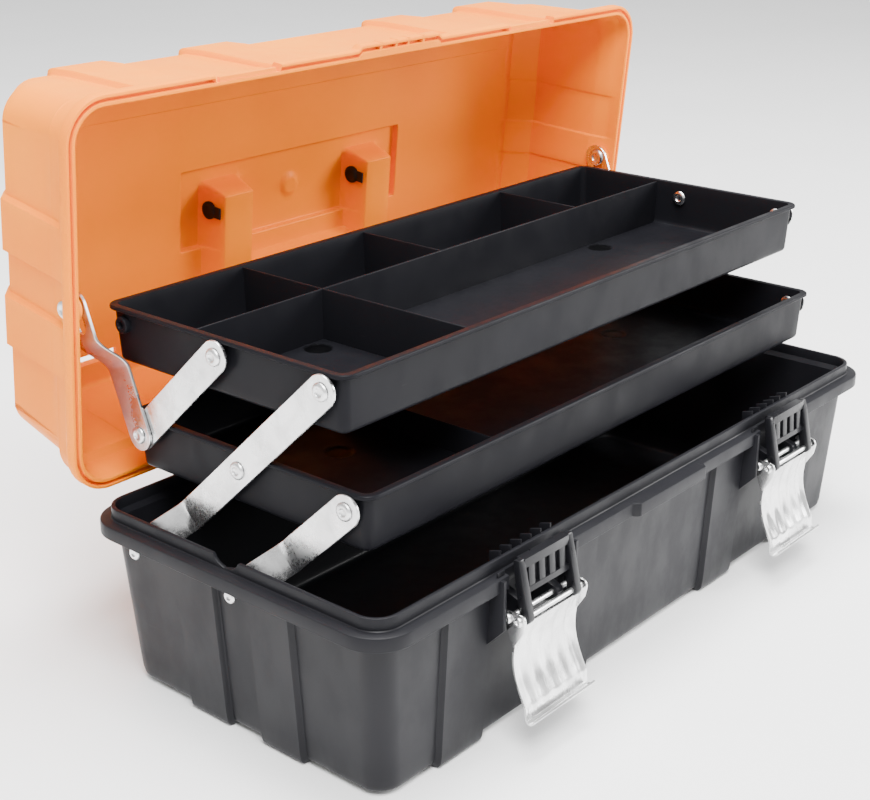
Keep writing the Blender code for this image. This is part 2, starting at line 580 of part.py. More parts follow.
# ---------------------------------------------------------------- straps
def strap(start, end, thick, crank, x_start, x_end, holes):
    """Flat bar with round ends between two pivots, set over sideways at the crank."""
    length = math.dist(start, end)
    angle = math.atan2(end[1] - start[1], end[0] - start[0])
    bar = prism(capsule((0, 0), (length, 0), STRAP_W / 2), "Z", 0, thick)
    for a, b, r in holes:
        outline = capsule((a, 0), (b, 0), r, 8) if b > a else circle(a, 0, r, 16)
        bar = combine(bar, prism(outline, "Z", -0.001, thick + 0.001), "DIFFERENCE")
    if crank:
        stations = [crank[0] + (crank[1] - crank[0]) * k / 6 for k in range(7)]
        for s in stations:
            geom = bar.verts[:] + bar.edges[:] + bar.faces[:]
            bmesh.ops.bisect_plane(bar, geom=geom, plane_co=(s, 0, 0), plane_no=(1, 0, 0))
    for v in bar.verts:
        k = 0.0
        if crank:
            k = min(max((v.co.x - crank[0]) / (crank[1] - crank[0]), 0.0), 1.0)
            k = k * k * (3 - 2 * k)
        x = x_start + (x_end - x_start) * k + v.co.z
        u, side = v.co.x, v.co.y
        v.co = (x, start[0] + u * math.cos(angle) - side * math.sin(angle),
                start[1] + u * math.sin(angle) + side * math.cos(angle))
    bmesh.ops.recalc_face_normals(bar, faces=bar.faces)
    return bar


def rivet(x0, x1, y, z, head0, head1):
    """Rivet with round heads whose inner faces lie at x0 and x1."""
    def head(x, r, way):
        return [(x + way * HEAD_T, r * 0.6), (x + way * HEAD_T * 0.4, r), (x, r)]

    shank = [(x0, SHANK_R), (x1, SHANK_R)]
    return turned(head(x0, head0, -1) + shank + head(x1, head1, 1)[::-1], y, z)


def build_links(side, sign, steel):
    def place(bm):
        return mirrored(bm) if sign < 0 else bm

    def hole(u):
        return u, u, HOLE_R

    top = ARM_LOW + ARM_HIGH
    slot = (SLOT_MID - SLOT_HALF, SLOT_MID + SLOT_HALF, SHANK_R + SLOT_SIDE)
    far = along(MID_REAR, BRACKET_OPEN, SLOT_MID + SLOT_HALF)
    arm = (STRAP_T, ARM_CRANK, ARM_TUB_X, STRAP_X)
    links = (
        ("long_arm", BASE_REAR, TOP_FRONT, *arm, (hole(0), hole(ARM_LOW), hole(top))),
        ("front_arm", BASE_FRONT, MID_FRONT, *arm, (hole(0), hole(ARM_LOW))),
        ("rear_arm", MID_REAR, TOP_PIVOT, STRAP_T, None, STRAP_X, STRAP_X, (hole(0), hole(ARM_HIGH))),
        ("lid_bracket", MID_REAR, far, BRACKET_T, BRACKET_CRANK, BRACKET_X, BRACKET_LID_X, (hole(0), slot)),
    )
    for label, start, *rest in links:
        finish(side + "_" + label, place(strap(start, *rest)), steel, (0, *start))

    tray_in = TRAY_L / 2 - TRAY_LIP - TRAY_DRAFT - TRAY_WALL - 0.0006
    strap_out = STRAP_X + STRAP_T + GAP
    wall_out = tub_wall(TUB_PIVOT[1])[0] + BAND_PROUD + GAP
    rivets = (
        ("rivet_tub_rear", BASE_REAR, ARM_TUB_X - GAP, wall_out, OUTER_HEAD_R),
        ("rivet_tub_front", BASE_FRONT, ARM_TUB_X - GAP, wall_out, OUTER_HEAD_R),
        ("rivet_middle", MID_PIVOT, tray_in, strap_out, HEAD_R),
        ("rivet_middle_front", MID_FRONT, tray_in, strap_out, HEAD_R),
        ("rivet_middle_rear", MID_REAR, tray_in, BRACKET_X + BRACKET_T + GAP, HEAD_R),
        ("rivet_upper", TOP_PIVOT, tray_in, strap_out, HEAD_R),
        ("rivet_upper_front", TOP_FRONT, tray_in, strap_out, HEAD_R),
    )
    for label, (y, z), x0, x1, outer in rivets:
        finish(side + "_" + label, place(rivet(x0, x1, y, z, HEAD_R, outer)), steel, (0, y, z))
    stud = rivet(BRACKET_LID_X - GAP, LID_HL - 0.0040, LID_HW - LID_STUD[0], RIM_Z + LID_STUD[1],
                 HEAD_R + 0.001, HEAD_R)
    finish(side + "_lid_stud", place(opened(stud)), steel, (0, *LID_PIVOT))


# ---------------------------------------------------------------- handle
def build_handle(black):
    z = RIM_Z + HANDLE_DEP
    t = HANDLE_T / 2
    w = HANDLE_ARM_W / 2
    outer_x, inner_x = HANDLE_X + w, HANDLE_X - w
    near, far = HANDLE_REACH - HANDLE_GRIP_W / 2, HANDLE_REACH + HANDLE_GRIP_W / 2
    side = [along((0, z), a, t) for a in range(90, 271, 15)]
    outline = side + [(far, z - t), (far, z + t)]
    arms = [prism(outline, "X", sign * HANDLE_X - w, sign * HANDLE_X + w) for sign in (-1, 1)]
    bar = box(-inner_x - 0.004, inner_x + 0.004, near, far, z - t, z + t)
    body = combine(arms[0], bar, "UNION")
    body = combine(body, arms[1], "UNION")
    bore = prism(circle(0, z, AXLE_R + GAP, 16), "X", -outer_x - 0.01, outer_x + 0.01)
    body = combine(body, bore, "DIFFERENCE")
    axis = open_point(0, z)
    finish("carry_handle", opened(body), black, (0, *axis))
    reach = w + POCKET_SIDE + POCKET_WALL + GAP
    for label, sign in (("left", -1), ("right", 1)):
        c = sign * HANDLE_X
        pin = turned([(c - reach - 0.003, AXLE_HEAD_R * 0.8), (c - reach - 0.002, AXLE_HEAD_R),
                      (c - reach, AXLE_HEAD_R), (c - reach, AXLE_R), (c + reach, AXLE_R)], 0, z)
        tail = box(c - reach - 0.0004 - AXLE_TAIL_T, c - reach - 0.0004, -AXLE_TAIL_W / 2, AXLE_TAIL_W / 2,
                   RIM_Z + POCKET_FLOOR - POCKET_WALL, z)
        pin = combine(pin, tail, "UNION")
        finish(label + "_handle_axle", opened(pin), black, (c, *axis))


# ---------------------------------------------------------------- latches
def lever_plate(cx):
    """Pressed lever: hanging plate hollowed outwards, lip at the foot, an ear each side."""
    y0 = HOOK_Y + 0.0030
    centre = []
    for k in range(13):
        s = k / 12
        z = LATCH_Z - 0.0042 - LEVER_DROP * s
        y = y0 - 0.0020 + 0.0052 * math.sin(math.pi * min(s * 1.15, 1.0)) - 0.0070 * s * s
        centre.append((y, z))
    y, z = centre[-1]
    centre += [(y - 0.0026, z - 0.0006), (y - 0.0050, z + 0.0012)]
    offset = []
    for i, (y, z) in enumerate(centre):
        a, b = centre[max(i - 1, 0)], centre[min(i + 1, len(centre) - 1)]
        n = Vector((-(b[1] - a[1]), b[0] - a[0])).normalized() * LEVER_T
        offset.append((y + n.x, z + n.y))
    plate = prism(centre + offset[::-1], "X", cx - LEVER_W / 2, cx + LEVER_W / 2)
    ears = []
    for sign in (-1, 1):
        lo, hi = sorted((cx + sign * LEVER_W / 2, cx + sign * (LEVER_W / 2 - LEVER_T)))
        outline = [along((LATCH_Y, LATCH_Z), a, 0.0042) for a in range(-50, 91, 20)]
        outline += [along((HOOK_Y, LATCH_Z), a, 0.0042) for a in range(90, 181, 15)]
        outline += [(HOOK_Y - 0.0030, LATCH_Z - 0.0060), (y0 + 0.0002, LATCH_Z - 0.0160),
                    (y0 + 0.0012, LATCH_Z - 0.0160)]
        ears.append(prism(outline, "X", lo, hi))
    body = combine(plate, ears[0], "UNION")
    body = combine(body, ears[1], "UNION")
    holes = [prism(circle(y, LATCH_Z, LATCH_PIN_R + GAP, 16), "X", cx - LEVER_W, cx + LEVER_W)
             for y in (LATCH_Y, HOOK_Y)]
    return combine(body, joined(holes), "DIFFERENCE")


def hook(cx):
    """Moulded hook: two arms from the pin, a ribbed block between them and a nose at the top."""
    outer = HOOK_HALF
    inner = outer - HOOK_ARM_W
    arm = [along((HOOK_Y, LATCH_Z), a, 0.0034) for a in range(180, 361, 20)]
    arm += [(-HALF_W - 0.0010, HOOK_TOP - 0.004), (-HALF_W - 0.0010, HOOK_TOP), (-HALF_W - 0.0052, HOOK_TOP)]
    arms = [prism(arm, "X", *sorted((cx + s * outer, cx + s * inner))) for s in (-1, 1)]
    top = HOOK_TOP
    nose = HOOK_TOP - 0.0044
    block = prism([(-HALF_W - 0.0012, LATCH_Z + 0.016), (-HALF_W - 0.0012, nose), (-HALF_W + 0.0009, nose),
                   (-HALF_W + 0.0009, top - 0.0010), (-HALF_W, top), (-HALF_W - 0.0052, top),
                   (-HALF_W - 0.0066, LATCH_Z + 0.016)],
                  "X", cx - inner - 0.001, cx + inner + 0.001)
    body = combine(arms[0], block, "UNION")
    body = combine(body, arms[1], "UNION")
    bore = prism(circle(HOOK_Y, LATCH_Z, LATCH_PIN_R + GAP, 16), "X", cx - LEVER_W, cx + LEVER_W)
    return combine(body, bore, "DIFFERENCE")


def build_latch(side, cx, steel, black):
    finish(side + "_latch_lever", lever_plate(cx), steel, (cx, LATCH_Y, LATCH_Z))
    finish(side + "_latch_hook", hook(cx), black, (cx, HOOK_Y, LATCH_Z))
    end = LEVER_W / 2 + GAP
    for label, y in (("lever_pin", LATCH_Y), ("hook_pin", HOOK_Y)):
        pin = turned([(cx - end - 0.0012, 0.0022), (cx - end, 0.0027), (cx - end, LATCH_PIN_R),
                      (cx + end, LATCH_PIN_R), (cx + end, 0.0027), (cx + end + 0.0012, 0.0022)], y, LATCH_Z)
        finish(side + "_latch_" + label, pin, steel, (cx, y, LATCH_Z))


def build_hinge_pins(steel):
    reach = LID_KNUCKLE_W / 2 + GAP + KNUCKLE_W + GAP
    for side, cx in zip(("left", "right"), HINGE_XS):
        pin = turned([(cx - reach - 0.0010, 0.0026), (cx - reach, 0.0032), (cx - reach, HINGE_PIN_R),
                      (cx + reach, HINGE_PIN_R), (cx + reach, 0.0032), (cx + reach + 0.0010, 0.0026)],
                     HINGE_Y, HINGE_Z)
        finish(side + "_hinge_pin", pin, steel, (cx, HINGE_Y, HINGE_Z))


def main():
    for obj in list(bpy.data.objects):
        bpy.data.objects.remove(obj)
    black = material("black_moulding", (0.018, 0.018, 0.020), 0.0, 0.45)
    orange = material("orange_moulding", (0.95, 0.30, 0.02), 0.0, 0.40)
    steel = material("zinc_steel", (0.72, 0.72, 0.72), 1.0, 0.30)
    handle_black = material("handle_moulding", (0.012, 0.012, 0.013), 0.0, 0.50)
    upper, middle = tray_dividers()
    build_tub(black)
    build_lid(orange)
    build_tray("middle_tray", MID_PIVOT, black, middle)
    build_tray("upper_tray", TOP_PIVOT, black, upper)
    for side, sign in (("left", -1), ("right", 1)):
        build_links(side, sign, steel)
    build_handle(handle_black)
    for side, cx in zip(("left", "right"), LATCH_XS):
        build_latch(side, cx, steel, black)
    build_hinge_pins(steel)


main()
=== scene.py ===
"""Cantilever tool box with an orange lid, two lifting trays, steel links and over-centre latches.

The packed model is the frame: joints and overall places are read from it. Every visible piece is a
surface worked out on a grid of two parameters, or a profile carried along a path or round an axis.
Metres, +Z up, the latches face -Y and the length runs along X.
"""
import json
import math

import bmesh
import bpy
import numpy as np
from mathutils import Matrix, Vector


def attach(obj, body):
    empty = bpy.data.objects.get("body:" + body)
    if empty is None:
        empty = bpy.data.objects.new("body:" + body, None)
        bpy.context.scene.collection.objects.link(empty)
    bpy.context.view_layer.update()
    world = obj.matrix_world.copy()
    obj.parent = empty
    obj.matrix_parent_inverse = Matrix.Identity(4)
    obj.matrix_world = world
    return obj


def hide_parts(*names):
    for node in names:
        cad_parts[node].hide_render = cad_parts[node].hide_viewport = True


bl_info = {
    "name": "Cantilever Tool Box",
    "version": (1, 0, 0),
    "blender": (4, 5, 0),
    "location": "3D View > Sidebar > Tool Box",
    "description": "Builds a moulded tool box with lifting trays over its packed frame",
    "category": "Add Mesh",
}

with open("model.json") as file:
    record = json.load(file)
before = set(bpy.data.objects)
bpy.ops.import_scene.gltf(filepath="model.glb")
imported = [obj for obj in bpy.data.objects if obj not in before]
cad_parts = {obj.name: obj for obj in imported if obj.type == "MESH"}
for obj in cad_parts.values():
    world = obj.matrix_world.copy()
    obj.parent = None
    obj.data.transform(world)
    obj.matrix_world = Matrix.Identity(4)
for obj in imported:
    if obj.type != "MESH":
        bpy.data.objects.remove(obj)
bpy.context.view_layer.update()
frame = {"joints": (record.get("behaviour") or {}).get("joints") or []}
JOINTS = {joint["name"]: joint for joint in frame["joints"]}


def pivot(name):
    """Place of a joint's axis in the plane across the box, as (Y, Z)."""
    return tuple(JOINTS[name]["pos_m"][1:])


HINGE = pivot("lid_hinge")
TUB_REAR = pivot("left_long_arm_pivot")
TUB_FRONT = pivot("left_front_arm_pivot")
MID_PIVOT = pivot("middle_tray_pivot")
MID_REAR = pivot("left_rear_arm_pivot")
TOP_FRONT = pivot("upper_tray_pivot")
LEVER_AXIS = pivot("left_latch_lever_hinge")
HOOK_AXIS = pivot("left_latch_hook_hinge")
LATCH_X = abs(JOINTS["left_latch_lever_hinge"]["pos_m"][0])
SPACING = MID_REAR[0] - MID_PIVOT[0]
MID_FRONT = (MID_PIVOT[0] - SPACING, MID_PIVOT[1])
TOP_PIVOT = (TOP_FRONT[0] + SPACING, TOP_FRONT[1])
OPEN_ANGLE = math.radians(JOINTS["lid_hinge"]["range_deg"][1])
SIDES = (("left", -1), ("right", 1))
CLEAR = 0.0003  # play between pieces that meet
LID_OVER = 0.0016  # how far the lid's lip stands past each end of the tub's ledge


# ---------------------------------------------------------------- sizes and colours a user would change
def size(name, text, metres):
    """Length that a user can set."""
    return bpy.props.FloatProperty(name=name, description=text, default=metres, subtype="DISTANCE",
                                   unit="LENGTH")


def tint(name, text, colour):
    """Colour that a user can set."""
    return bpy.props.FloatVectorProperty(name=name, description=text, default=colour, subtype="COLOR", size=3)


class MouldingSizes(bpy.types.PropertyGroup):
    """Sizes of the tub and lid mouldings."""

    length: size("Length", "Outside length of the tub's ledge", 0.500)
    width: size("Width", "Outside width of the tub's ledge", 0.2224)
    tub_height: size("Tub height", "Ground to the top of the ledge", 0.1019)
    lid_height: size("Lid height", "Lid rim to its top panel", 0.0905)
    wall: size("Wall", "Wall thickness of the mouldings", 0.0025)
    band: size("Band", "How far the bands stand out of the tub wall", 0.003)


class TraySizes(bpy.types.PropertyGroup):
    """Sizes of the two trays."""

    length: size("Length", "Length over the rim", 0.4424)
    width: size("Width", "Width over the rim", 0.1796)
    height: size("Height", "Rim to the underside", 0.0324)
    wall: size("Wall", "Wall thickness", 0.0020)
    divider: size("Divider", "Thickness of the dividers", 0.0016)


class LinkSizes(bpy.types.PropertyGroup):
    """Sizes of the steel straps and rivets."""

    strap_width: size("Strap width", "Width of the steel straps", 0.0178)
    strap_thickness: size("Strap thickness", "Thickness of the arms", 0.0015)
    bracket_thickness: size("Bracket thickness", "Thickness of the lid brackets", 0.0018)
    rivet_head: size("Rivet head", "Radius of a rivet head", 0.0050)


class Finishes(bpy.types.PropertyGroup):
    """Colours of the plastics and the metal."""

    orange: tint("Orange", "Lid plastic", (1.0, 0.24, 0.0))
    black: tint("Black", "Tub and tray plastic", (0.008, 0.008, 0.0100))
    zinc: tint("Zinc", "Plated steel", (0.78, 0.78, 0.78))
    floor: tint("Floor", "Studio floor", (0.96, 0.96, 0.96))


GROUPS = (("toolbox_moulding", MouldingSizes), ("toolbox_tray", TraySizes), ("toolbox_link", LinkSizes),
          ("toolbox_finish", Finishes))


# ---------------------------------------------------------------- surfaces
def grid_quads(rows, cols, wrap=False):
    """Four-corner faces of a grid of points numbered row by row; wrap joins the last column to the first."""
    i, j = np.meshgrid(np.arange(rows - 1), np.arange(cols if wrap else cols - 1), indexing="ij")
    k = (j + 1) % cols
    return np.stack([i * cols + j, i * cols + k, (i + 1) * cols + k, (i + 1) * cols + j], -1).reshape(-1, 4)


class Solid:
    """Points, four-corner faces and many-sided caps of one closed shape."""

    def __init__(self, points, quads, caps=()):
        self.points = np.asarray(points, float).reshape(-1, 3)
        self.quads = np.asarray(quads, int).reshape(-1, 4)
        self.caps = [np.asarray(cap, int) for cap in caps]

    def moved(self, shift):
        return Solid(self.points + np.asarray(shift), self.quads, self.caps)

    def mirrored(self):
        return Solid(self.points * (-1, 1, 1), self.quads, self.caps)

    def turned(self, centre, angle):
        """Turned about the X line through centre (Y, Z)."""
        return Solid(turn_points(self.points, centre, angle), self.quads, self.caps)


def turn_points(points, centre, angle):
    """Each point's (Y, Z) from the centre is turned by the angle, from Y towards Z."""
    y, z = points[..., 1] - centre[0], points[..., 2] - centre[1]
    c, s = math.cos(angle), math.sin(angle)
    return np.stack([points[..., 0], centre[0] + c * y - s * z, centre[1] + s * y + c * z], -1)


def together(solids):
    """One solid made of several, their faces renumbered."""
    starts = np.cumsum([0] + [len(s.points) for s in solids])
    caps = [cap + k for s, k in zip(solids, starts) for cap in s.caps]
    return Solid(np.concatenate([s.points for s in solids]),
                 np.concatenate([s.quads + k for s, k in zip(solids, starts)]), caps)


def make_piece(name, solid, material, body, nodes=(), sharp=32):
    """Mesh object at the origin, doubles merged, faces out, riding on its body."""
    mesh = bpy.data.meshes.new(name)
    faces = solid.quads.tolist() + [cap.tolist() for cap in solid.caps]
    mesh.from_pydata(solid.points.tolist(), [], faces)
    bm = bmesh.new()
    bm.from_mesh(mesh)
    bmesh.ops.remove_doubles(bm, verts=bm.verts, dist=2e-6)
    bmesh.ops.dissolve_degenerate(bm, edges=bm.edges, dist=1e-6)
    bmesh.ops.recalc_face_normals(bm, faces=bm.faces)
    bm.to_mesh(mesh)
    bm.free()
    mesh.shade_smooth()
    mesh.set_sharp_from_angle(angle=math.radians(sharp))
    mesh.materials.append(material)
    piece = bpy.data.objects.new(name, mesh)
    bpy.context.scene.collection.objects.link(piece)
    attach(piece, body)
    if nodes:
        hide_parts(*nodes)
    return piece


def inset(outline, distance):
    """Outline moved inwards: each corner goes along the bisector of its two edge normals."""
    p = np.asarray(outline, float)
    ahead = np.roll(p, -1, 0) - p
    ahead /= np.linalg.norm(ahead, axis=1, keepdims=True) + 1e-12
    normal = np.stack([-ahead[:, 1], ahead[:, 0]], -1)
    behind = np.roll(normal, 1, 0)
    area = np.sum(p[:, 0] * np.roll(p[:, 1], -1) - np.roll(p[:, 0], -1) * p[:, 1])
    both = normal + behind
    both /= np.maximum(1 + np.sum(normal * behind, 1, keepdims=True), 0.35)
    return p + both * distance * (1 if area > 0 else -1)


def bar(outline, axis, lo, hi, edge=0.0004):
    """Outline carried from lo to hi along an axis; three rings at each end follow a quarter round of
    the edge radius."""
    p = np.asarray(outline, float)
    rings, places = [], []
    for a in (0.0, 0.5, 1.0):
        rings.append(inset(p, edge * (1 - math.sin(a * math.pi / 2))))
        places.append(lo + edge * (1 - math.cos(a * math.pi / 2)))
    ring = np.stack(rings + rings[::-1])
    t = np.array(places + [lo + hi - q for q in places[::-1]])[:, None] * np.ones(len(p))
    order = {"X": (t, ring[..., 0], ring[..., 1]), "Y": (ring[..., 0], t, ring[..., 1]),
             "Z": (ring[..., 0], ring[..., 1], t)}[axis]
    points = np.stack(order, -1)
    n = len(p)
    return Solid(points, grid_quads(6, n, True), [np.arange(n)[::-1], np.arange(n) + 5 * n])


def handed(solid, sign):
    """The solid as made for the right end, or its mirror image for the left."""
    return solid if sign > 0 else solid.mirrored()


def rectangle(a0, a1, b0, b1):
    return [(a0, b0), (a1, b0), (a1, b1), (a0, b1)]


def arc(centre, radius, start, stop, count):
    """Points of a circle between two angles in degrees."""
    a = np.radians(np.linspace(start, stop, count))
    return np.stack([centre[0] + radius * np.cos(a), centre[1] + radius * np.sin(a)], -1)


def lathe(profile, centre, steps=36):
    """Profile of (x, radius) pairs carried round the X line through centre (Y, Z)."""
    p = np.asarray(profile, float)
    a = np.linspace(0, math.tau, steps, endpoint=False)
    x = p[:, :1] + 0 * a
    y, z = centre[0] + p[:, 1:] * np.cos(a), centre[1] + p[:, 1:] * np.sin(a)
    return Solid(np.stack([x, y, z], -1), grid_quads(len(p), steps, True))


def thick_sheet(sheet, thickness):
    """Sheet of points thickened both ways along its normals, the cross product of its two grid directions."""
    du, dv = np.gradient(sheet, axis=0), np.gradient(sheet, axis=1)
    n = np.cross(du, dv)
    n /= np.linalg.norm(n, axis=-1, keepdims=True) + 1e-15
    rows, cols = sheet.shape[:2]
    front, back = sheet + n * thickness / 2, sheet - n * thickness / 2
    points = np.concatenate([front.reshape(-1, 3), back.reshape(-1, 3)])
    quads = grid_quads(rows, cols)
    k = np.arange(rows * cols).reshape(rows, cols)
    loop = np.concatenate([k[0, :-1], k[:-1, -1], k[-1, :0:-1], k[:0:-1, 0]])
    after = np.roll(loop, -1)
    far = rows * cols
    rim = np.stack([loop, after, after + far, loop + far], -1)
    return Solid(points, np.concatenate([quads, quads[:, ::-1] + far, rim[:, ::-1]]))


def sweep(section, path, up):
    """Closed section of (across, up) pairs carried along a path; across is the path's direction
    crossed with up."""
    path = np.asarray(path, float)
    along = np.gradient(path, axis=0)
    along /= np.linalg.norm(along, axis=1, keepdims=True)
    across = np.cross(along, up)
    across /= np.linalg.norm(across, axis=1, keepdims=True)
    s = np.asarray(section, float)
    points = path[:, None] + across[:, None] * s[None, :, :1] + np.asarray(up) * s[None, :, 1:]
    n = len(s)
    return Solid(points, grid_quads(len(path), n, True), [np.arange(n)[::-1],
                                                          np.arange(n) + (len(path) - 1) * n])


# ---------------------------------------------------------------- pans: the tub, the lid and the trays
CORNER = 6  # grid lines that turn each upright corner


def lines(half, edges, step, fine=(0.0010, 0.00035)):
    """Grid lines from -half to half: an even spacing, and two close lines on each side of every edge."""
    near = np.add.outer(np.asarray(edges, float), np.array([-fine[0], -fine[1], fine[1], fine[0]])).ravel()
    near = near[np.abs(near) < half]
    even = np.linspace(-half, half, int(2 * half / step) + 1)
    if len(near):
        gap = np.abs(even[:, None] - near[None]).min(1)
        even = even[(gap > step * 0.25) | (np.abs(even) > half - 1e-9)]
    return np.unique(np.round(np.concatenate([even, near]), 6))


def step_up(value, edge, soft=0.0003):
    """0 below the edge and 1 above it, with a smooth rise over the soft width each way."""
    k = np.clip((value - edge) / (2 * soft) + 0.5, 0, 1)
    return k * k * (3 - 2 * k)


def between(value, lo, hi, soft=0.0003):
    """1 between two edges and 0 outside them."""
    return step_up(value, lo, soft) * (1 - step_up(value, hi, soft))


class Pan:
    """Hollow moulding: rings of points round a rounded rectangle, from one floor panel to the other.

    Straight sides keep fixed grid lines in X and in Y, so a feature keeps its edges at every height.
    """

    def __init__(self, xs, ys):
        self.xs, self.ys = xs, ys
        self.rings = []
        self.count = 2 * len(xs) + 2 * len(ys) + 4 * (2 * CORNER - 1)
        k = 2 * CORNER - 1
        nx, ny = len(xs), len(ys)
        self.front = np.arange(nx)
        self.right = np.arange(ny) + nx + k
        self.rear = np.arange(nx) + nx + ny + 2 * k
        self.left = np.arange(ny) + 2 * nx + ny + 3 * k

    def ring(self, half, y0, y1, radius, z, front=0.0, rear=0.0, end=0.0, z_front=0.0, z_rear=0.0, z_end=0.0):
        """One level; front, rear and end push that side outwards, the z values lift it."""
        xs, ys, k = self.xs, self.ys, 2 * CORNER - 1
        flat = np.zeros(self.count)
        p = np.stack([flat, flat, flat + z], -1)
        p[self.front, 0], p[self.front, 1] = xs, y0 - front
        p[self.rear, 0], p[self.rear, 1] = xs[::-1], y1 + (rear + 0 * xs)[::-1]
        p[self.right, 0], p[self.right, 1] = half + end, ys
        p[self.left, 0], p[self.left, 1] = -half - (end + 0 * ys)[::-1], ys[::-1]
        p[self.front, 2] += z_front
        p[self.rear, 2] += (z_rear + 0 * xs)[::-1]
        p[self.right, 2] += z_end
        p[self.left, 2] += (z_end + 0 * ys)[::-1]
        nx, ny = len(xs), len(ys)
        for start, centre, a0 in ((nx, (half - radius, y0 + radius), -90),
                                  (nx + ny + k, (half - radius, y1 - radius), 0),
                                  (2 * nx + ny + 2 * k, (-half + radius, y1 - radius), 90),
                                  (2 * nx + 2 * ny + 3 * k, (-half + radius, y0 + radius), 180)):
            p[start:start + k, :2] = arc(centre, radius, a0, a0 + 90, k)
        self.rings.append(p)
        return p

    def panel(self, border):
        """Grid of (X, Y) inside a ring: straight lines in the middle, corner blocks blended from their
        four sides."""
        m, nx, ny = CORNER, len(self.xs), len(self.ys)
        g = np.zeros((nx + 2 * m, ny + 2 * m, 2))
        walk = self.walk()
        g[walk[:, 0], walk[:, 1]] = border[:, :2]
        t = np.linspace(0, 1, m + 1)[:, None]
        cx, cy = np.arange(m, m + nx), np.arange(m, m + ny)
        g[m:m + nx, m:m + ny] = np.stack(np.meshgrid(self.xs, self.ys, indexing="ij"), -1)
        for j0, j1, step in ((0, m, 1), (ny + 2 * m - 1, ny + m - 1, -1)):
            for q in range(1, m):
                g[cx, j0 + q * step] = g[cx, j0] * (1 - t[q]) + g[cx, j1] * t[q]
        for i0, i1, step in ((0, m, 1), (nx + 2 * m - 1, nx + m - 1, -1)):
            for q in range(1, m):
                g[i0 + q * step, cy] = g[i0, cy] * (1 - t[q]) + g[i1, cy] * t[q]
        for i in (slice(0, m + 1), slice(nx + m - 1, nx + 2 * m)):
            for j in (slice(0, m + 1), slice(ny + m - 1, ny + 2 * m)):
                g[i, j] = blended(g[i, j])
        return g

    def walk(self):
        """Grid places of the border, in the order of a ring."""
        m, w, h = CORNER, len(self.xs) + 2 * CORNER, len(self.ys) + 2 * CORNER
        i = np.concatenate([np.arange(m, w), np.full(h - 1, w - 1), np.arange(w - 2, -1, -1),
                            np.zeros(h - 1, int),
                            np.arange(1, m)])
        j = np.concatenate([np.zeros(w - m, int), np.arange(1, h), np.full(w - 1, h - 1), np.arange(h - 2,
                -1, -1),
                            np.zeros(m - 1, int)])
        return np.stack([i, j], -1)

    def solid(self, first_height, last_height, holes=None):
        """Closes the rings with a panel at each end; heights are functions of X and Y, holes marks
        open cells."""
        walk = self.walk()
        panels = []
        for which, height in ((0, first_height), (-1, last_height)):
            g = self.panel(self.rings[which])
            z = height(g[..., 0], g[..., 1])
            self.rings[which][:, 2] = z[walk[:, 0], walk[:, 1]]
            panels.append(np.concatenate([g, z[..., None]], -1))
        n, count = len(self.rings), self.count
        points = [np.concatenate(self.rings)]
        quads = [grid_quads(n, count, True)]
        indexes, used = [], n * count
        w, h = panels[0].shape[:2]
        mid = None
        for grid, ring_start in zip(panels, (0, (n - 1) * count)):
            index = np.full((w, h), -1)
            index[walk[:, 0], walk[:, 1]] = ring_start + np.arange(count)
            inner = index < 0
            index[inner] = used + np.arange(inner.sum())
            used += inner.sum()
            points.append(grid[inner])
            indexes.append(index)
            mid = (grid[1:, 1:, :2] + grid[:-1, :-1, :2]) / 2
        open_cells = np.zeros((w - 1, h - 1), bool) if holes is None else holes(mid[..., 0], mid[..., 1])
        for index in indexes:
            cells = np.stack([index[:-1, :-1], index[1:, :-1], index[1:, 1:], index[:-1, 1:]], -1)
            quads.append(cells[~open_cells])
        if open_cells.any():
            a, b = indexes
            i, j = np.nonzero(open_cells[1:] != open_cells[:-1])
            quads.append(np.stack([a[i + 1, j], a[i + 1, j + 1], b[i + 1, j + 1], b[i + 1, j]], -1))
            i, j = np.nonzero(open_cells[:, 1:] != open_cells[:, :-1])
            quads.append(np.stack([a[i, j + 1], a[i + 1, j + 1], b[i + 1, j + 1], b[i, j + 1]], -1))
        return Solid(np.concatenate(points), np.concatenate(quads))


def blended(block):
    """Inside of a four-sided block from its sides: the two pairs of sides are mixed and the corners
    taken off once."""
    s = np.linspace(0, 1, block.shape[0])[:, None, None]
    t = np.linspace(0, 1, block.shape[1])[None, :, None]
    sides = ((1 - s) * block[:1] + s * block[-1:] + (1 - t) * block[:, :1] + t * block[:, -1:])
    corners = ((1 - s) * (1 - t) * block[0, 0] + (1 - s) * t * block[0, -1]
               + s * (1 - t) * block[-1, 0] + s * t * block[-1, -1])
    return sides - corners


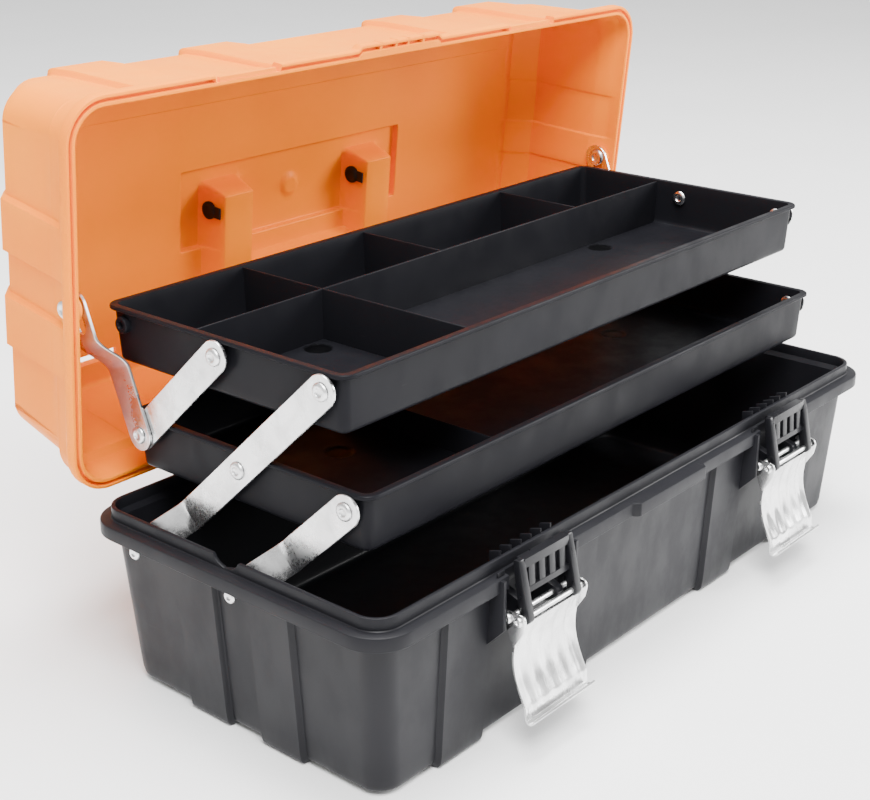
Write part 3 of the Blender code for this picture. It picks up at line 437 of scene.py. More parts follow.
# ---------------------------------------------------------------- finishes
class Recipe:
    """Short hand for wiring one material's nodes."""

    def __init__(self, name):
        self.material = bpy.data.materials.new(name)
        self.material.use_nodes = True
        self.nodes = self.material.node_tree.nodes
        self.wires = self.material.node_tree.links
        self.shader = self.nodes["Principled BSDF"]
        self.place = self.nodes.new("ShaderNodeTexCoord").outputs["Object"]

    def link(self, source, target):
        self.wires.new(source, target)

    def stretched(self, scale, turn=(0.0, 0.0, 0.0)):
        node = self.nodes.new("ShaderNodeMapping")
        node.inputs["Scale"].default_value = scale
        node.inputs["Rotation"].default_value = turn
        self.link(self.place, node.inputs["Vector"])
        return node.outputs["Vector"]

    def noise(self, scale, detail=3.0, rough=0.55, vector=None, distortion=0.0):
        node = self.nodes.new("ShaderNodeTexNoise")
        node.inputs["Scale"].default_value = scale
        node.inputs["Detail"].default_value = detail
        node.inputs["Roughness"].default_value = rough
        node.inputs["Distortion"].default_value = distortion
        self.link(vector or self.place, node.inputs["Vector"])
        return node.outputs["Fac"]

    def ranged(self, value, low, high, to_low, to_high):
        node = self.nodes.new("ShaderNodeMapRange")
        node.interpolation_type = "SMOOTHSTEP"
        for socket, number in zip(("From Min", "From Max", "To Min", "To Max"), (low, high, to_low, to_high)):
            node.inputs[socket].default_value = number
        self.link(value, node.inputs["Value"])
        return node.outputs["Result"]

    def maths(self, operation, a, b):
        node = self.nodes.new("ShaderNodeMath")
        node.operation = operation
        for socket, value in zip(node.inputs, (a, b)):
            if isinstance(value, (int, float)):
                socket.default_value = value
            else:
                self.link(value, socket)
        return node.outputs[0]

    def colour(self, factor, stops):
        node = self.nodes.new("ShaderNodeValToRGB")
        ramp = node.color_ramp.elements
        while len(ramp) < len(stops):
            ramp.new(0.5)
        for element, (where, value) in zip(ramp, stops):
            element.position = where
            element.color = (*value, 1.0)
        self.link(factor, node.inputs["Fac"])
        return node.outputs["Color"]

    def tinted(self, factor, base, over):
        node = self.nodes.new("ShaderNodeMix")
        node.data_type = "RGBA"
        self.link(factor, node.inputs["Factor"])
        self.link(base, node.inputs["A"])
        node.inputs["B"].default_value = (*over, 1.0)
        return node.outputs["Result"]

    def away(self, centre):
        node = self.nodes.new("ShaderNodeVectorMath")
        node.operation = "DISTANCE"
        self.link(self.place, node.inputs[0])
        node.inputs[1].default_value = centre
        return node.outputs["Value"]

    def bump(self, height, strength, distance, under=None):
        node = self.nodes.new("ShaderNodeBump")
        node.inputs["Strength"].default_value = strength
        node.inputs["Distance"].default_value = distance
        self.link(height, node.inputs["Height"])
        if under:
            self.link(under, node.inputs["Normal"])
        return node.outputs["Normal"]


def shade(colour, factor):
    return tuple(min(1.0, c * factor) for c in colour)


def moulded_plastic(name, colour, roughness, grain, scuff, translucent=0.0, marks_at=(), gloss=0.5):
    """Spark-eroded grain, faint flow clouds, fine scuffs and rubbed patches in a moulded plastic."""
    r = Recipe(name)
    clouds = r.noise(9.0, 2.0, 0.5)
    base = r.colour(clouds, [(0.30, shade(colour, 0.88)), (0.70, shade(colour, 1.10))])
    rub = r.noise(46.0, 5.0, 0.62, r.stretched((1.0, 1.0, 0.55), (0.35, 0.2, 0.6)))
    scratch_a = r.noise(30.0, 6.0, 0.75, r.stretched((1.0, 22.0, 22.0), (0.5, 0.3, 0.9)))
    scratch_b = r.noise(26.0, 6.0, 0.75, r.stretched((26.0, 1.0, 26.0), (0.2, 0.8, 0.3)))
    marks = r.maths("MAXIMUM", r.ranged(scratch_a, 0.66, 0.78, 0.0, 1.0), r.ranged(scratch_b, 0.67, 0.79,
            0.0, 1.0))
    faint = r.maths("MULTIPLY", marks, scuff)
    for place in marks_at:
        away = r.away(place)
        edge = r.maths("ADD", away, r.maths("MULTIPLY", r.noise(420.0, 4.0, 0.7), 0.004))
        base = r.tinted(r.ranged(edge, 0.0088, 0.0112, 1.0, 0.0), base, shade(colour, 0.15))
    r.link(r.tinted(faint, base, tuple(0.5 * c + 0.10 for c in colour)), r.shader.inputs["Base Color"])
    dull = r.ranged(rub, 0.35, 0.65, roughness - 0.06, roughness + 0.07)
    r.link(r.maths("ADD", dull, r.maths("MULTIPLY", marks, 0.10)), r.shader.inputs["Roughness"])
    fine = r.noise(1500.0, 2.0, 0.6)
    pits = r.bump(fine, grain, 0.00006)
    flow = r.bump(r.noise(38.0, 2.0, 0.5), 0.10, 0.0006, pits)
    r.link(r.bump(marks, 0.12, 0.00005, flow), r.shader.inputs["Normal"])
    r.shader.inputs["IOR"].default_value = 1.50
    r.shader.inputs["Specular IOR Level"].default_value = gloss
    if translucent:
        r.shader.inputs["Subsurface Weight"].default_value = translucent
        r.shader.inputs["Subsurface Radius"].default_value = (1.0, 0.35, 0.08)
        r.shader.inputs["Subsurface Scale"].default_value = 0.004
    return r.material


def plated_steel(name, colour, roughness, brushed=(60.0, 1.0, 1.0), turn=(0.0, 0.0, 0.0), tarnish=0.3):
    """Bright zinc over rolled sheet: fine drawn lines, cloudy roughness, handling smears and small
    dark specks."""
    r = Recipe(name)
    clouds = r.noise(55.0, 4.0, 0.6, distortion=0.6)
    base = r.colour(clouds, [(0.32, shade(colour, 0.80)), (0.52, colour), (0.72, shade(colour, 1.12))])
    specks = r.ranged(r.noise(420.0, 3.0, 0.6), 0.68, 0.76, 0.0, tarnish)
    r.link(r.tinted(specks, base, (0.30, 0.28, 0.26)), r.shader.inputs["Base Color"])
    drawn = r.noise(70.0, 4.0, 0.65, r.stretched(brushed, turn))
    smear = r.noise(24.0, 3.0, 0.55, distortion=1.2)
    spread = r.maths("ADD", r.ranged(drawn, 0.3, 0.7, -0.05, 0.06), r.ranged(smear, 0.35, 0.65,
            roughness - 0.05,
                                                                            roughness + 0.12))
    r.link(spread, r.shader.inputs["Roughness"])
    r.shader.inputs["Metallic"].default_value = 1.0
    dents = r.bump(r.noise(90.0, 3.0, 0.5), 0.16, 0.0006)
    r.link(r.bump(drawn, 0.10, 0.00008, dents), r.shader.inputs["Normal"])
    return r.material


MATERIALS = {}


def materials():
    """The finishes, made once from the scene's colours."""
    if not MATERIALS:
        f = bpy.context.scene.toolbox_finish
        MATERIALS["lid"] = moulded_plastic("orange_moulding", tuple(f.orange), 0.42, 0.22, 0.05, 0.12, (),
                                           0.06)
        MATERIALS["tub"] = moulded_plastic("black_tub_moulding", tuple(f.black), 0.42, 0.50, 0.35,
                                          gloss=0.16)
        for label, (y, z) in (("upper", TOP_PIVOT), ("middle", MID_PIVOT)):
            floor = [(x, y + dy, z + PIVOT_DROP - 0.0304) for x, dy in MARKS]
            MATERIALS[label] = moulded_plastic(f"black_{label}_tray_moulding", shade(f.black, 0.9),
                                              0.37, 0.35, 0.30, 0.0, floor, 0.06)
        MATERIALS["latch"] = moulded_plastic("black_latch_moulding", shade(f.black, 0.7), 0.30, 0.20, 0.25,
                                            gloss=0.25)
        MATERIALS["handle"] = moulded_plastic("black_handle_moulding", shade(f.black, 0.7), 0.36, 0.25, 0.25,
                                             gloss=0.25)
        MATERIALS["strap"] = plated_steel("zinc_strap", tuple(f.zinc), 0.24, (1.0, 12.0, 12.0),
                                          (0.82, 0.0, 0.0))
        MATERIALS["lever"] = plated_steel("zinc_lever", shade(f.zinc, 1.06), 0.20, (16.0, 2.0, 1.0))
        MATERIALS["rivet"] = plated_steel("zinc_rivet", shade(f.zinc, 1.02), 0.26, (6.0, 6.0, 6.0))
    return MATERIALS


# ---------------------------------------------------------------- tub
FOOT = 0.002
DRAFT = (0.007, 0.0056)
LEDGE = 0.009
UPSTAND = 0.007
BANDS_X = (-0.175, -0.080, 0.080, 0.175)
BANDS_Y = (-0.027, 0.029)
HALF_BAND_X, HALF_BAND_Y = 0.018, 0.0155
NOTCH = 0.02425
LEVER_HALF = 0.0273
HINGE_X = 0.150
LID_KNUCKLE, TUB_KNUCKLE, KNUCKLE_R = 0.0067, 0.005, 0.0045  # half lengths along the pin, radius
TUB_SWELL, LID_SWELL = 0.0035, 0.0026  # middle of the front edge, outwards
LATCHES = (("left", -LATCH_X), ("right", LATCH_X))


def bands_along(x):
    return sum(between(x, c - HALF_BAND_X, c + HALF_BAND_X, 0.0008) for c in BANDS_X)


def bands_across(y):
    return sum(between(y, c - HALF_BAND_Y, c + HALF_BAND_Y, 0.0008) for c in BANDS_Y)


def latch_gap(x):
    return sum(between(x, c - NOTCH, c + NOTCH, 0.0003) for _, c in LATCHES)


def middle_bulge(x):
    return between(x, -0.038, 0.034, 0.0020)


def moulding_lines(half_x, half_y, more_x=(), more_y=(), plain_x=(), plain_y=()):
    """Grid lines shared by the tub and the lid: every band, latch gap and the middle bulge gets its own."""
    edges_x = [c + s * HALF_BAND_X for c in BANDS_X for s in (-1, 1)] + [c + s * NOTCH for _, c in LATCHES
            for s in (-1, 1)]
    edges_x += [-0.0395, -0.0365, 0.0325, 0.0355, *more_x]
    edges_y = [c + s * HALF_BAND_Y for c in BANDS_Y for s in (-1, 1)] + list(more_y)
    xs, ys = lines(half_x, edges_x, 0.010), lines(half_y, edges_y, 0.008)
    return (np.unique(np.round(np.concatenate([xs, plain_x]), 6)),
            np.unique(np.round(np.concatenate([ys, plain_y]), 6)))


def build_tub(s):
    """Tub moulding: wall rings lean out by the draft, the ledge, its skirt and the upstand follow,
    then the inside."""
    fx, fy, top, w = s.length / 2, s.width / 2, s.tub_height, s.wall
    under = top - 0.0025
    ux, uy = fx - 0.007, fy - 0.007
    r = 0.014
    notch_y = fy + 0.0005 - 0.1090
    xs, ys = moulding_lines(0.2135, 0.0775, more_y=(notch_y - 0.0095, notch_y + 0.0095, notch_y - 0.007,
                                                    notch_y + 0.007))
    pan = Pan(xs, ys)
    bx, by = bands_along(xs), bands_across(ys)
    gap, bulge = latch_gap(xs), TUB_SWELL * middle_bulge(xs)
    dip = np.minimum(0.0, 0.0045 - np.sqrt(np.maximum(0.0, 0.0105 ** 2 - (ys - notch_y) ** 2)))
    dip = dip * (np.abs(ys - notch_y) < 0.0096)

    def wall_at(z):
        k = (top - z) / (top - FOOT)
        return fx - LEDGE - DRAFT[0] * k, fy - LEDGE - DRAFT[1] * k

    def square(hx, hy, radius, z, **more):
        pan.ring(hx, -hy, hy, radius, z, **more)

    low = wall_at(FOOT)
    for a in np.radians(np.linspace(0, 90, 5)):
        grow = 0.004 * math.sin(a)
        proud = s.band
        square(low[0] - 0.004 + grow, low[1] - 0.004 + grow, r - 0.004 + grow,
               FOOT + 0.004 * (1 - math.cos(a)),
               front=proud * bx, rear=proud * bx, end=proud * by, z_front=-FOOT * bx * math.cos(a),
               z_rear=-FOOT * bx * math.cos(a), z_end=-FOOT * by * math.cos(a))
    for z in np.linspace(FOOT + 0.006, under - 0.0005, 12):
        hx, hy = wall_at(z)
        square(hx, hy, r, z, front=s.band * bx, rear=s.band * bx, end=s.band * by)
    hx, hy = wall_at(under)
    square(hx + 0.0006, hy + 0.0006, r, under, front=s.band * bx, rear=s.band * bx, end=s.band * by)
    limit = fy - 0.0058

    def ledge(inward, z, radius_in=0.0, swell=1.0, stop=limit):
        """Ring of the ledge; in a latch gap it is held back to the stop."""
        y = fy - inward
        held = -gap * max(0.0, y - stop)
        square(fx - inward, y, r + LEDGE - inward - radius_in, z, front=held + swell * bulge * (1 - gap))

    skirt = top - 0.008
    ledge(0.0022, under, stop=limit - 0.0014)
    ledge(0.0020, under - 0.0004, stop=limit - 0.0014)
    ledge(0.0020, skirt + 0.0004, stop=limit - 0.0014)
    ledge(0.0016, skirt, stop=limit - 0.0010)
    ledge(0.0004, skirt, stop=limit - 0.0004)
    ledge(0.0, skirt + 0.0004)
    ledge(0.0, top - 0.0009)
    ledge(0.0003, top - 0.0003, stop=limit - 0.0002)
    ledge(0.0009, top, stop=limit - 0.0006)
    square(ux + 0.0006, uy + 0.0006, r + 0.0016, top)
    square(ux + 0.0001, uy + 0.0001, r + 0.0011, top + 0.0005)
    high = top + UPSTAND
    square(ux, uy, r + 0.001, high - 0.0007, z_end=dip)
    square(ux - 0.0002, uy - 0.0002, r + 0.0008, high - 0.0002, z_end=dip)
    square(ux - 0.0007, uy - 0.0007, r + 0.0004, high, z_end=dip)
    square(ux - w + 0.0007, uy - w + 0.0007, r - 0.0008, high, z_end=dip)
    square(ux - w + 0.0002, uy - w + 0.0002, r - 0.0013, high - 0.0002, z_end=dip)
    square(ux - w, uy - w, r - 0.0015, high - 0.0007, z_end=dip)
    square(ux - w, uy - w, r - 0.0015, top + 0.0004)
    for z in np.linspace(under, FOOT + w + 0.005, 9):
        hx, hy = wall_at(z)
        square(hx - w, hy - w, r - 0.002, z)
    for a in np.radians(np.linspace(90, 0, 5)):
        grow = 0.004 * math.sin(a)
        square(low[0] - w - 0.004 + grow, low[1] - w - 0.004 + grow, r - 0.006 + grow,
               FOOT + w + 0.004 * (1 - math.cos(a)))

    def underside(x, y):
        feet = np.maximum(bands_along(x) * step_up(np.abs(y), low[1] - 0.010, 0.0012),
                          bands_across(y) * step_up(np.abs(x), low[0] - 0.010, 0.0012))
        return FOOT * (1 - feet)

    def inside(x, y):
        return FOOT + w + 0 * x

    solids = [pan.solid(underside, inside)]
    solids.append(bar(arc((0.0, 0.0), 0.020, 0, 352.5, 48), "Z", 0.0, FOOT + 0.001))
    solids += tub_fittings(s, wall_at)
    make_piece("tub_moulding", together(solids), materials()["tub"], "base", ["base_tub"])


def tub_fittings(s, wall_at):
    """Lugs and cheeks at the latches, comb ribs and tabs at the rim, knuckles at the hinge."""
    fy, top = s.width / 2, s.tub_height
    ly, lz = LEVER_AXIS
    face = -wall_at(lz)[1] + 0.001
    solids = []
    for _, cx in LATCHES:
        for sign in (-1, 1):
            x = cx + sign * 0.013
            lug = [(face, lz - 0.012), (ly - 0.001, lz - 0.0038), *arc((ly, lz), 0.0036, 250, 90, 9),
                   (face, lz + 0.008)]
            solids.append(bar(lug, "X", x - 0.00275, x + 0.00275))
            x = cx + sign * (LEVER_HALF + 0.0036)
            cheek = [(face + 0.002, lz - 0.022), (face - 0.0025, lz - 0.018), (-fy - 0.0025, lz - 0.006),
                     (-fy - 0.0025, top - 0.0006), (-fy + 0.0035, top - 0.0006), (face + 0.002, top - 0.001)]
            solids.append(bar(cheek, "X", x - 0.0012, x + 0.0012, 0.0003))
            x = cx + sign * (NOTCH + 0.0042)
            solids.append(bar(rectangle(-fy + 0.0022, -fy + 0.0031, top - 0.001, top + 0.0026), "X",
                              x - 0.003, x + 0.003, 0.0003))
        for k in range(6):
            x = cx + (k - 2.5) * 0.0086
            blade = [(-fy + 0.0085, top - 0.010), (-fy + 0.0155, top - 0.002), (-fy + 0.0155, top + 0.0078),
                     (-fy + 0.0085, top + 0.0100)]
            solids.append(bar(blade, "X", x - 0.0007, x + 0.0007, 0.0002))
    hy, hz = HINGE
    for cx in (-HINGE_X, HINGE_X):
        for sign in (-1, 1):
            x = cx + sign * (LID_KNUCKLE + CLEAR + TUB_KNUCKLE)
            knuckle = [(fy - 0.001, top - 0.0075), (hy + 0.001, top - 0.0075), *arc((hy, hz), KNUCKLE_R,
                    -45, 180, 16),
                       (hy - KNUCKLE_R, top), (fy - 0.001, top - 0.0002)]
            solids.append(bar(knuckle, "X", x - TUB_KNUCKLE, x + TUB_KNUCKLE))
    return solids


# ---------------------------------------------------------------- lid, made shut and swung open
SHOULDER = 0.072
REAR_STEP = 0.024
LIP = 0.0065
SLOTS = ((0.136, -0.0805, 0.0135, 0.0045), (0.170, 0.0785, 0.018, 0.0035))
FIELD = (0.102, 0.028, 0.004)
ARM_X, ARM_HALF = 0.065, 0.0105
ARM_PLAY, POCKET_WALL = 0.0018, 0.0024
POCKET = (0.0750, -0.011, 0.0680)
GRIP = (0.055, 0.010)
LID_STUD = (0.1090, 0.0105)


def build_lid(s):
    """Lid moulding: the outside falls from the top panel to the lip, the groove is cut in the lip, the
    inside returns."""
    rim = s.tub_height + CLEAR
    lx, ly, w, top = s.length / 2 + LID_OVER, s.width / 2 + LID_OVER / 3, s.wall, s.lid_height
    end_top = lx - 0.0136 - 0.015
    half_pocket = ARM_HALF + ARM_PLAY
    t = POCKET_WALL
    arm_x = [sx * ARM_X + e for sx in (-1, 1) for e in (-half_pocket - t, -half_pocket, half_pocket,
                                                        half_pocket + t)]
    grip_y = GRIP[0] - GRIP[1] - ARM_PLAY
    more_x = arm_x + [sx * FIELD[0] for sx in (-1, 1)] + [sx * (FIELD[0] - w) for sx in (-1, 1)]
    more_x += [sx * cx + e for sx in (-1, 1) for cx, _, h, _ in SLOTS for e in (-h, h)]
    more_y = [POCKET[1] - t, POCKET[1], POCKET[2], POCKET[2] + t, grip_y, grip_y - t, -FIELD[1], FIELD[1],
              -FIELD[1] + w,
              FIELD[1] - w, -0.0668]
    more_y += [cy + e for _, cy, _, h in SLOTS for e in (-h, h)]
    wave = (-0.0030, -0.0017, 0.0017, 0.0030)
    plain_x = [a + e for a in arm_x[0::4] + arm_x[3::4] for e in wave] + list(np.linspace(-0.0116, 0.0064,
            13))
    plain_y = [a + e for a in (POCKET[1] - t, grip_y - t) for e in wave] + list(np.linspace(-0.0095, 0.0085,
            13))
    xs, ys = moulding_lines(0.2025, 0.0845, more_x, more_y, plain_x, plain_y)
    pan = Pan(xs, ys)
    bx, by = bands_along(xs), bands_across(ys)
    gap, bulge = latch_gap(xs), LID_SWELL * middle_bulge(xs)

    def field(x, y, half_x, half_y, soft=0.0006):
        return between(x, -half_x, half_x, soft) * between(y, -half_y, half_y, soft)

    def pocket(x, y, grow):
        soft = 0.0034 if grow else 0.0012
        arms = between(np.abs(x), ARM_X - half_pocket - grow, ARM_X + half_pocket + grow, soft) * between(
            y, POCKET[1] - grow, POCKET[2] + grow, soft)
        grip = between(x, -ARM_X, ARM_X) * between(y, grip_y - grow, POCKET[2] + grow, soft)
        return np.maximum(arms, grip)

    def outside(x, y):
        raised = 0.0035 * bands_along(x) * (1 - field(x, y, FIELD[0], FIELD[1])) + FIELD[2] * field(x, y,
                FIELD[0], FIELD[1])
        level = top + raised
        return rim + level + (POCKET[0] - level) * pocket(x, y, 0.0)

    def inside(x, y):
        level = top - w + FIELD[2] * field(x, y, FIELD[0] - w, FIELD[1] - w) - 0.0005 * step_up(-y, 0.0668,
                0.0004)
        level = level - 0.0020 * (1 - step_up(np.hypot(x + 0.0026, y + 0.0005), 0.0070, 0.0024))
        return rim + level + (POCKET[0] - t - level) * pocket(x, y, t)

    def holes(x, y):
        found = np.zeros(x.shape, bool)
        for cx, cy, hx, hy in SLOTS:
            found |= (np.abs(np.abs(x) - cx) < hx) & (np.abs(y - cy) < hy)
        return found

    def level(in_end, in_front, in_rear, radius, dep, p=0.0, **more):
        pan.ring(lx - in_end, -ly + in_front, ly - in_rear, radius, rim + dep, front=more.pop("front",
                0) + p * bx,
                 rear=more.pop("rear", 0) + (p * bx if dep > REAR_STEP else 0.0),
                 end=p * by + more.pop("end", 0), **more)

    for a in np.radians(np.linspace(0, 90, 6)):
        drop, grow = 0.0042 * (1 - math.cos(a)), 0.0042 * math.sin(a)
        level(lx - end_top + 0.0042 - grow, 0.0164 - grow, 0.0184 - grow, 0.0125 + grow, top - drop, 0.0035,
              z_front=0.0035 * bx * math.cos(a), z_rear=0.0035 * bx * math.cos(a))
    slope = np.linspace(0, 1, 7)[1:]
    for k in slope:
        run = 0.0150 * (1 - k)
        level(0.0136 + run * (1 - 0.10 * math.sin(math.pi * k)), 0.0122 - 0.0017 * k, 0.0142 - 0.0014 * k,
              0.017 + 0.001 * k,
              top - 0.0042 + (SHOULDER - top + 0.0042) * k, 0.0035)
    for dep in np.linspace(SHOULDER, REAR_STEP + 0.0012, 9)[1:]:
        k = (SHOULDER - dep) / (SHOULDER - REAR_STEP)
        level(0.0136 - 0.0052 * k, 0.0105 - 0.0031 * k, 0.0128 - 0.0036 * k, 0.018, dep, 0.0035 - 0.0006 * k)
    level(0.0083, 0.0073, 0.0080, 0.018, REAR_STEP + 0.0006, 0.0028)
    level(0.0082, 0.0072, 0.0020, 0.019, REAR_STEP + 0.0002, 0.0027)
    level(0.0082, 0.0072, 0.0014, 0.019, REAR_STEP - 0.0004, 0.0027)
    for dep in np.linspace(REAR_STEP, 0.0084, 6)[1:]:
        k = (REAR_STEP - dep) / (REAR_STEP - 0.008)
        level(0.0082 - 0.0032 * k, 0.0072 - 0.0022 * k, 0.0014 - 0.0004 * k, 0.019 + 0.002 * k, dep,
              0.0027 - 0.0008 * k)

    stop = ly - LIP + 0.0022

    def lip(inward, dep, carve=0.0, give=0.0):
        """Ring of the lip; in a latch gap it is held back to the stop and the groove is filled."""
        held = -gap * max(0.0, ly - inward - stop - give)
        level(inward, inward, min(inward, 0.0012 + inward * 0.5) if inward < 0.002 and dep > 0.002
              else inward, 0.025 - inward, dep,
              front=held + bulge * (1 - gap) * (inward < 0.0055), z_front=-gap * carve)

    lip(0.0044, 0.0078)
    lip(0.0010, 0.0074)
    lip(0.0003, 0.0068)
    lip(0.0, 0.0060)
    lip(0.0, 0.0008)
    lip(0.0003, 0.0002)
    lip(0.0008, 0.0)
    for inward, dep in ((0.0018, 0.0), (0.0021, 0.0004), (0.0022, 0.0036), (0.0040, 0.0036),
                        (0.0041, 0.0004), (0.0044, 0.0)):
        lip(inward, dep, dep, -0.0001)
    lip(LIP - 0.0007, 0.0)
    lip(LIP - 0.0001, 0.0006)
    lip(LIP, 0.0012)
    lip(LIP, 0.0068)
    p = 0.0012
    level(0.0050 + w, 0.0050 + w, LIP, 0.0185, 0.0090, p)
    for k in np.linspace(0.15, 1, 4):
        level(0.0050 + w + 0.0032 * k, 0.0050 + w + 0.0022 * k, LIP, 0.0185 - 0.002 * k,
              0.009 + (REAR_STEP - 0.0026 - 0.009) * k, p)
    level(0.0082 + w, 0.0072 + w, LIP + 0.0004, 0.0165, REAR_STEP - 0.0022, p)
    level(0.0084 + w, 0.0074 + w, 0.0092 + w, 0.0155, REAR_STEP - 0.0001, p)
    for k in np.linspace(0, 1, 9)[1:]:
        level(0.0084 + w + 0.0052 * k, 0.0074 + w + 0.0031 * k, 0.0092 + w + 0.0036 * k, 0.0155,
              REAR_STEP + (SHOULDER - 0.0012 - REAR_STEP) * k, p)
    for k in np.linspace(0, 1, 6)[1:]:
        level(0.0136 + w + 0.0150 * k, 0.0105 + w + 0.0017 * k, 0.0128 + w + 0.0014 * k, 0.0155 - 0.001 * k,
              SHOULDER - 0.0012 + (top - 0.0058 - SHOULDER + 0.0012) * k, p)
    for a in np.radians(np.linspace(0, 90, 5))[1:]:
        level(lx - end_top + w + 0.0030 * (1 - math.cos(a)), 0.0122 + w + 0.0028 * (1 - math.cos(a)),
              0.0142 + w + 0.0028 * (1 - math.cos(a)), 0.0145 - 0.002 * (1 - math.cos(a)),
              top - 0.0058 + 0.0033 * math.sin(a), p)
    solids = [pan.solid(outside, inside, holes)] + lid_fittings(s, rim, lx, ly)
    shut = together(solids)
    make_piece("lid_moulding", shut.turned(HINGE, -OPEN_ANGLE), materials()["lid"], "lid_assembly",
               ["lid"])


def lid_fittings(s, rim, lx, ly):
    """Hinge knuckles, catch ribs, the celled tab in the middle of the front lip and the stud bosses."""
    hy, hz = HINGE
    solids = []
    for cx in (-HINGE_X, HINGE_X):
        knuckle = [(ly - 0.0030, rim + 0.0130), (ly - 0.0030, rim + 0.0008), (hy - KNUCKLE_R, rim + 0.0008),
                   *arc((hy, hz), KNUCKLE_R, 195, 450, 18)]
        solids.append(bar(knuckle, "X", cx - LID_KNUCKLE, cx + LID_KNUCKLE))
    for _, cx in LATCHES:
        y = -ly + LIP - 0.0022
        solids.append(bar(rectangle(y - 0.0027, y + 0.0011, rim + 0.0008, rim + 0.0028), "X",
                          cx - NOTCH + 0.003, cx + NOTCH - 0.003, 0.0003))
    for x0, x1 in ((-0.0212, -0.0190), (-0.0074, -0.0056), (0.0036, 0.0054), (0.0172, 0.0194)):
        solids.append(bar(rectangle(-ly - 0.0029, -ly + 0.0050, rim + 0.0004, rim + 0.0060), "X", x0, x1,
                          0.0003))
    for sign in (-1, 1):
        face = sign * (lx - 0.0075)
        lo, hi = sorted((face, sign * (lx - 0.0108)))
        solids.append(lathe([(lo, 0), (lo, 0.0078), (hi - 0.0004, 0.0074), (hi, 0.0070), (hi, 0)],
                            (ly - LID_STUD[0], rim + LID_STUD[1])))
    return solids


# ---------------------------------------------------------------- trays
TRAY_LIP, TRAY_LIP_H, TRAY_DRAFT = 0.0030, 0.0026, 0.0012
PIVOT_DROP = 0.0097
LONG_DIVIDER, CROSS_DIVIDER = 0.021, -0.1225
REAR_DIVIDERS = (-0.020, 0.119)
MIDDLE_DIVIDER = -0.094
MARKS = ((-0.137, 0.011), (0.134, 0.011))


def divider(axis, place, lo, hi, foot, height, thick, centre):
    """Thin wall: its section narrows upwards and ends in a half round."""
    base, tip = thick / 2 + 0.0002, thick / 2 - 0.0002
    section = [(-base, foot), (base, foot), *arc((0.0, foot + height - tip), tip, 0, 180, 7)]
    if axis == "X":
        return bar([(centre + place + a, b) for a, b in section], "X", lo, hi, 0.0001)
    return bar([(place + a, b) for a, b in section], "Y", centre + lo, centre + hi, 0.0001)


def build_tray(s, name, body, centre, rim, dividers, node, finish):
    """Tray moulding: rings climb the drafted wall, turn over the lip and go down inside to the marked
    floor."""
    hx, hy, w, deep = s.length / 2, s.width / 2, s.wall, s.height
    lip, d = TRAY_LIP, TRAY_DRAFT
    fan = np.linspace(-0.0105, 0.0105, 15)
    xs = np.unique(np.round(np.concatenate([lines(0.2040, [], 0.012), *[cx + fan for cx, _ in MARKS]]), 6))
    ys = np.unique(np.round(np.concatenate([lines(0.0730, [], 0.008), MARKS[0][1] + fan]), 6))
    pan = Pan(xs, ys)

    def ring(inward, radius, z):
        pan.ring(hx - inward, -hy + inward, hy - inward, radius, rim + z)

    for a in np.radians(np.linspace(0, 90, 5)):
        ring(lip + d + 0.003 - 0.003 * math.sin(a), 0.003 + 0.0025 * math.sin(a),
             -deep + 0.003 * (1 - math.cos(a)))
    for k in np.linspace(0, 1, 7)[1:]:
        ring(lip + d * (1 - k), 0.0055, -deep + 0.003 + (deep - 0.003 - TRAY_LIP_H - 0.0004) * k)
    for inward, radius, z in ((lip - 0.0003, 0.0058, -TRAY_LIP_H), (0.0005, 0.0080, -TRAY_LIP_H + 0.0002),
                              (0.0, 0.0085, -TRAY_LIP_H + 0.0007), (0.0, 0.0085, -0.0007), (0.0002, 0.0083,
                                      -0.0003),
                              (0.0006, 0.0079, 0.0), (lip + w - 0.0012, 0.0050, 0.0), (lip + w - 0.0006,
                                      0.0044, -0.0002),
                              (lip + w - 0.0005, 0.0043, -0.0007), (lip + w, 0.0040, -TRAY_LIP_H - 0.001)):
        ring(inward, radius, z)
    for k in np.linspace(0, 1, 7)[1:]:
        ring(lip + w + d * k, 0.004, -TRAY_LIP_H - 0.001 + (-deep + w + 0.003 + TRAY_LIP_H + 0.001) * k)
    for a in np.radians(np.linspace(0, 90, 5))[1:]:
        ring(lip + d + w + 0.003 * (1 - math.cos(a)), 0.004 - 0.0025 * (1 - math.cos(a)),
             -deep + w + 0.003 * (1 - math.sin(a)))

    def underside(x, y):
        return rim - deep + 0 * x

    def floor(x, y):
        z = rim - deep + w + 0 * x
        for cx, cy in MARKS:
            away = np.hypot(x - cx, y - cy)
            z = z - 0.0005 * (1 - step_up(away, 0.0078,
                                          0.0008)) + 0.0003 * np.exp(-((away - 0.0086) / 0.0007) ** 2)
        return z

    solids = [pan.solid(underside, floor)]
    reach_x, reach_y = hx - lip - w + 0.0005, hy - lip - w + 0.0005
    foot = rim - deep + w - 0.0006
    for axis, place, lo, hi, height in dividers:
        lo, hi = (max(lo, -reach_x), min(hi, reach_x)) if axis == "X" else (max(lo, -reach_y),
                min(hi, reach_y))
        solids.append(divider(axis, place, lo, hi, foot, height, s.divider, 0.0))
    pads = [lathe([(sign * (hx - 0.0024), 0), (sign * (hx - 0.0024), 0.0020), (sign * (hx - 0.0004), 0.0022),
                   (sign * (hx + 0.0001), 0.0025), (sign * (hx + 0.0001), 0.0042), (sign * (hx - 0.0004),
                           0.0046),
                   (sign * (hx - lip - d - 0.0008), 0.0050), (sign * (hx - lip - d - 0.0008), 0.0)],
                  (k * SPACING, rim - PIVOT_DROP)) for _, sign in SIDES for k in (-1, 0, 1)]
    piece = together(solids + pads).moved((0, centre, 0))
    make_piece(name, piece, materials()[finish], body, [node])


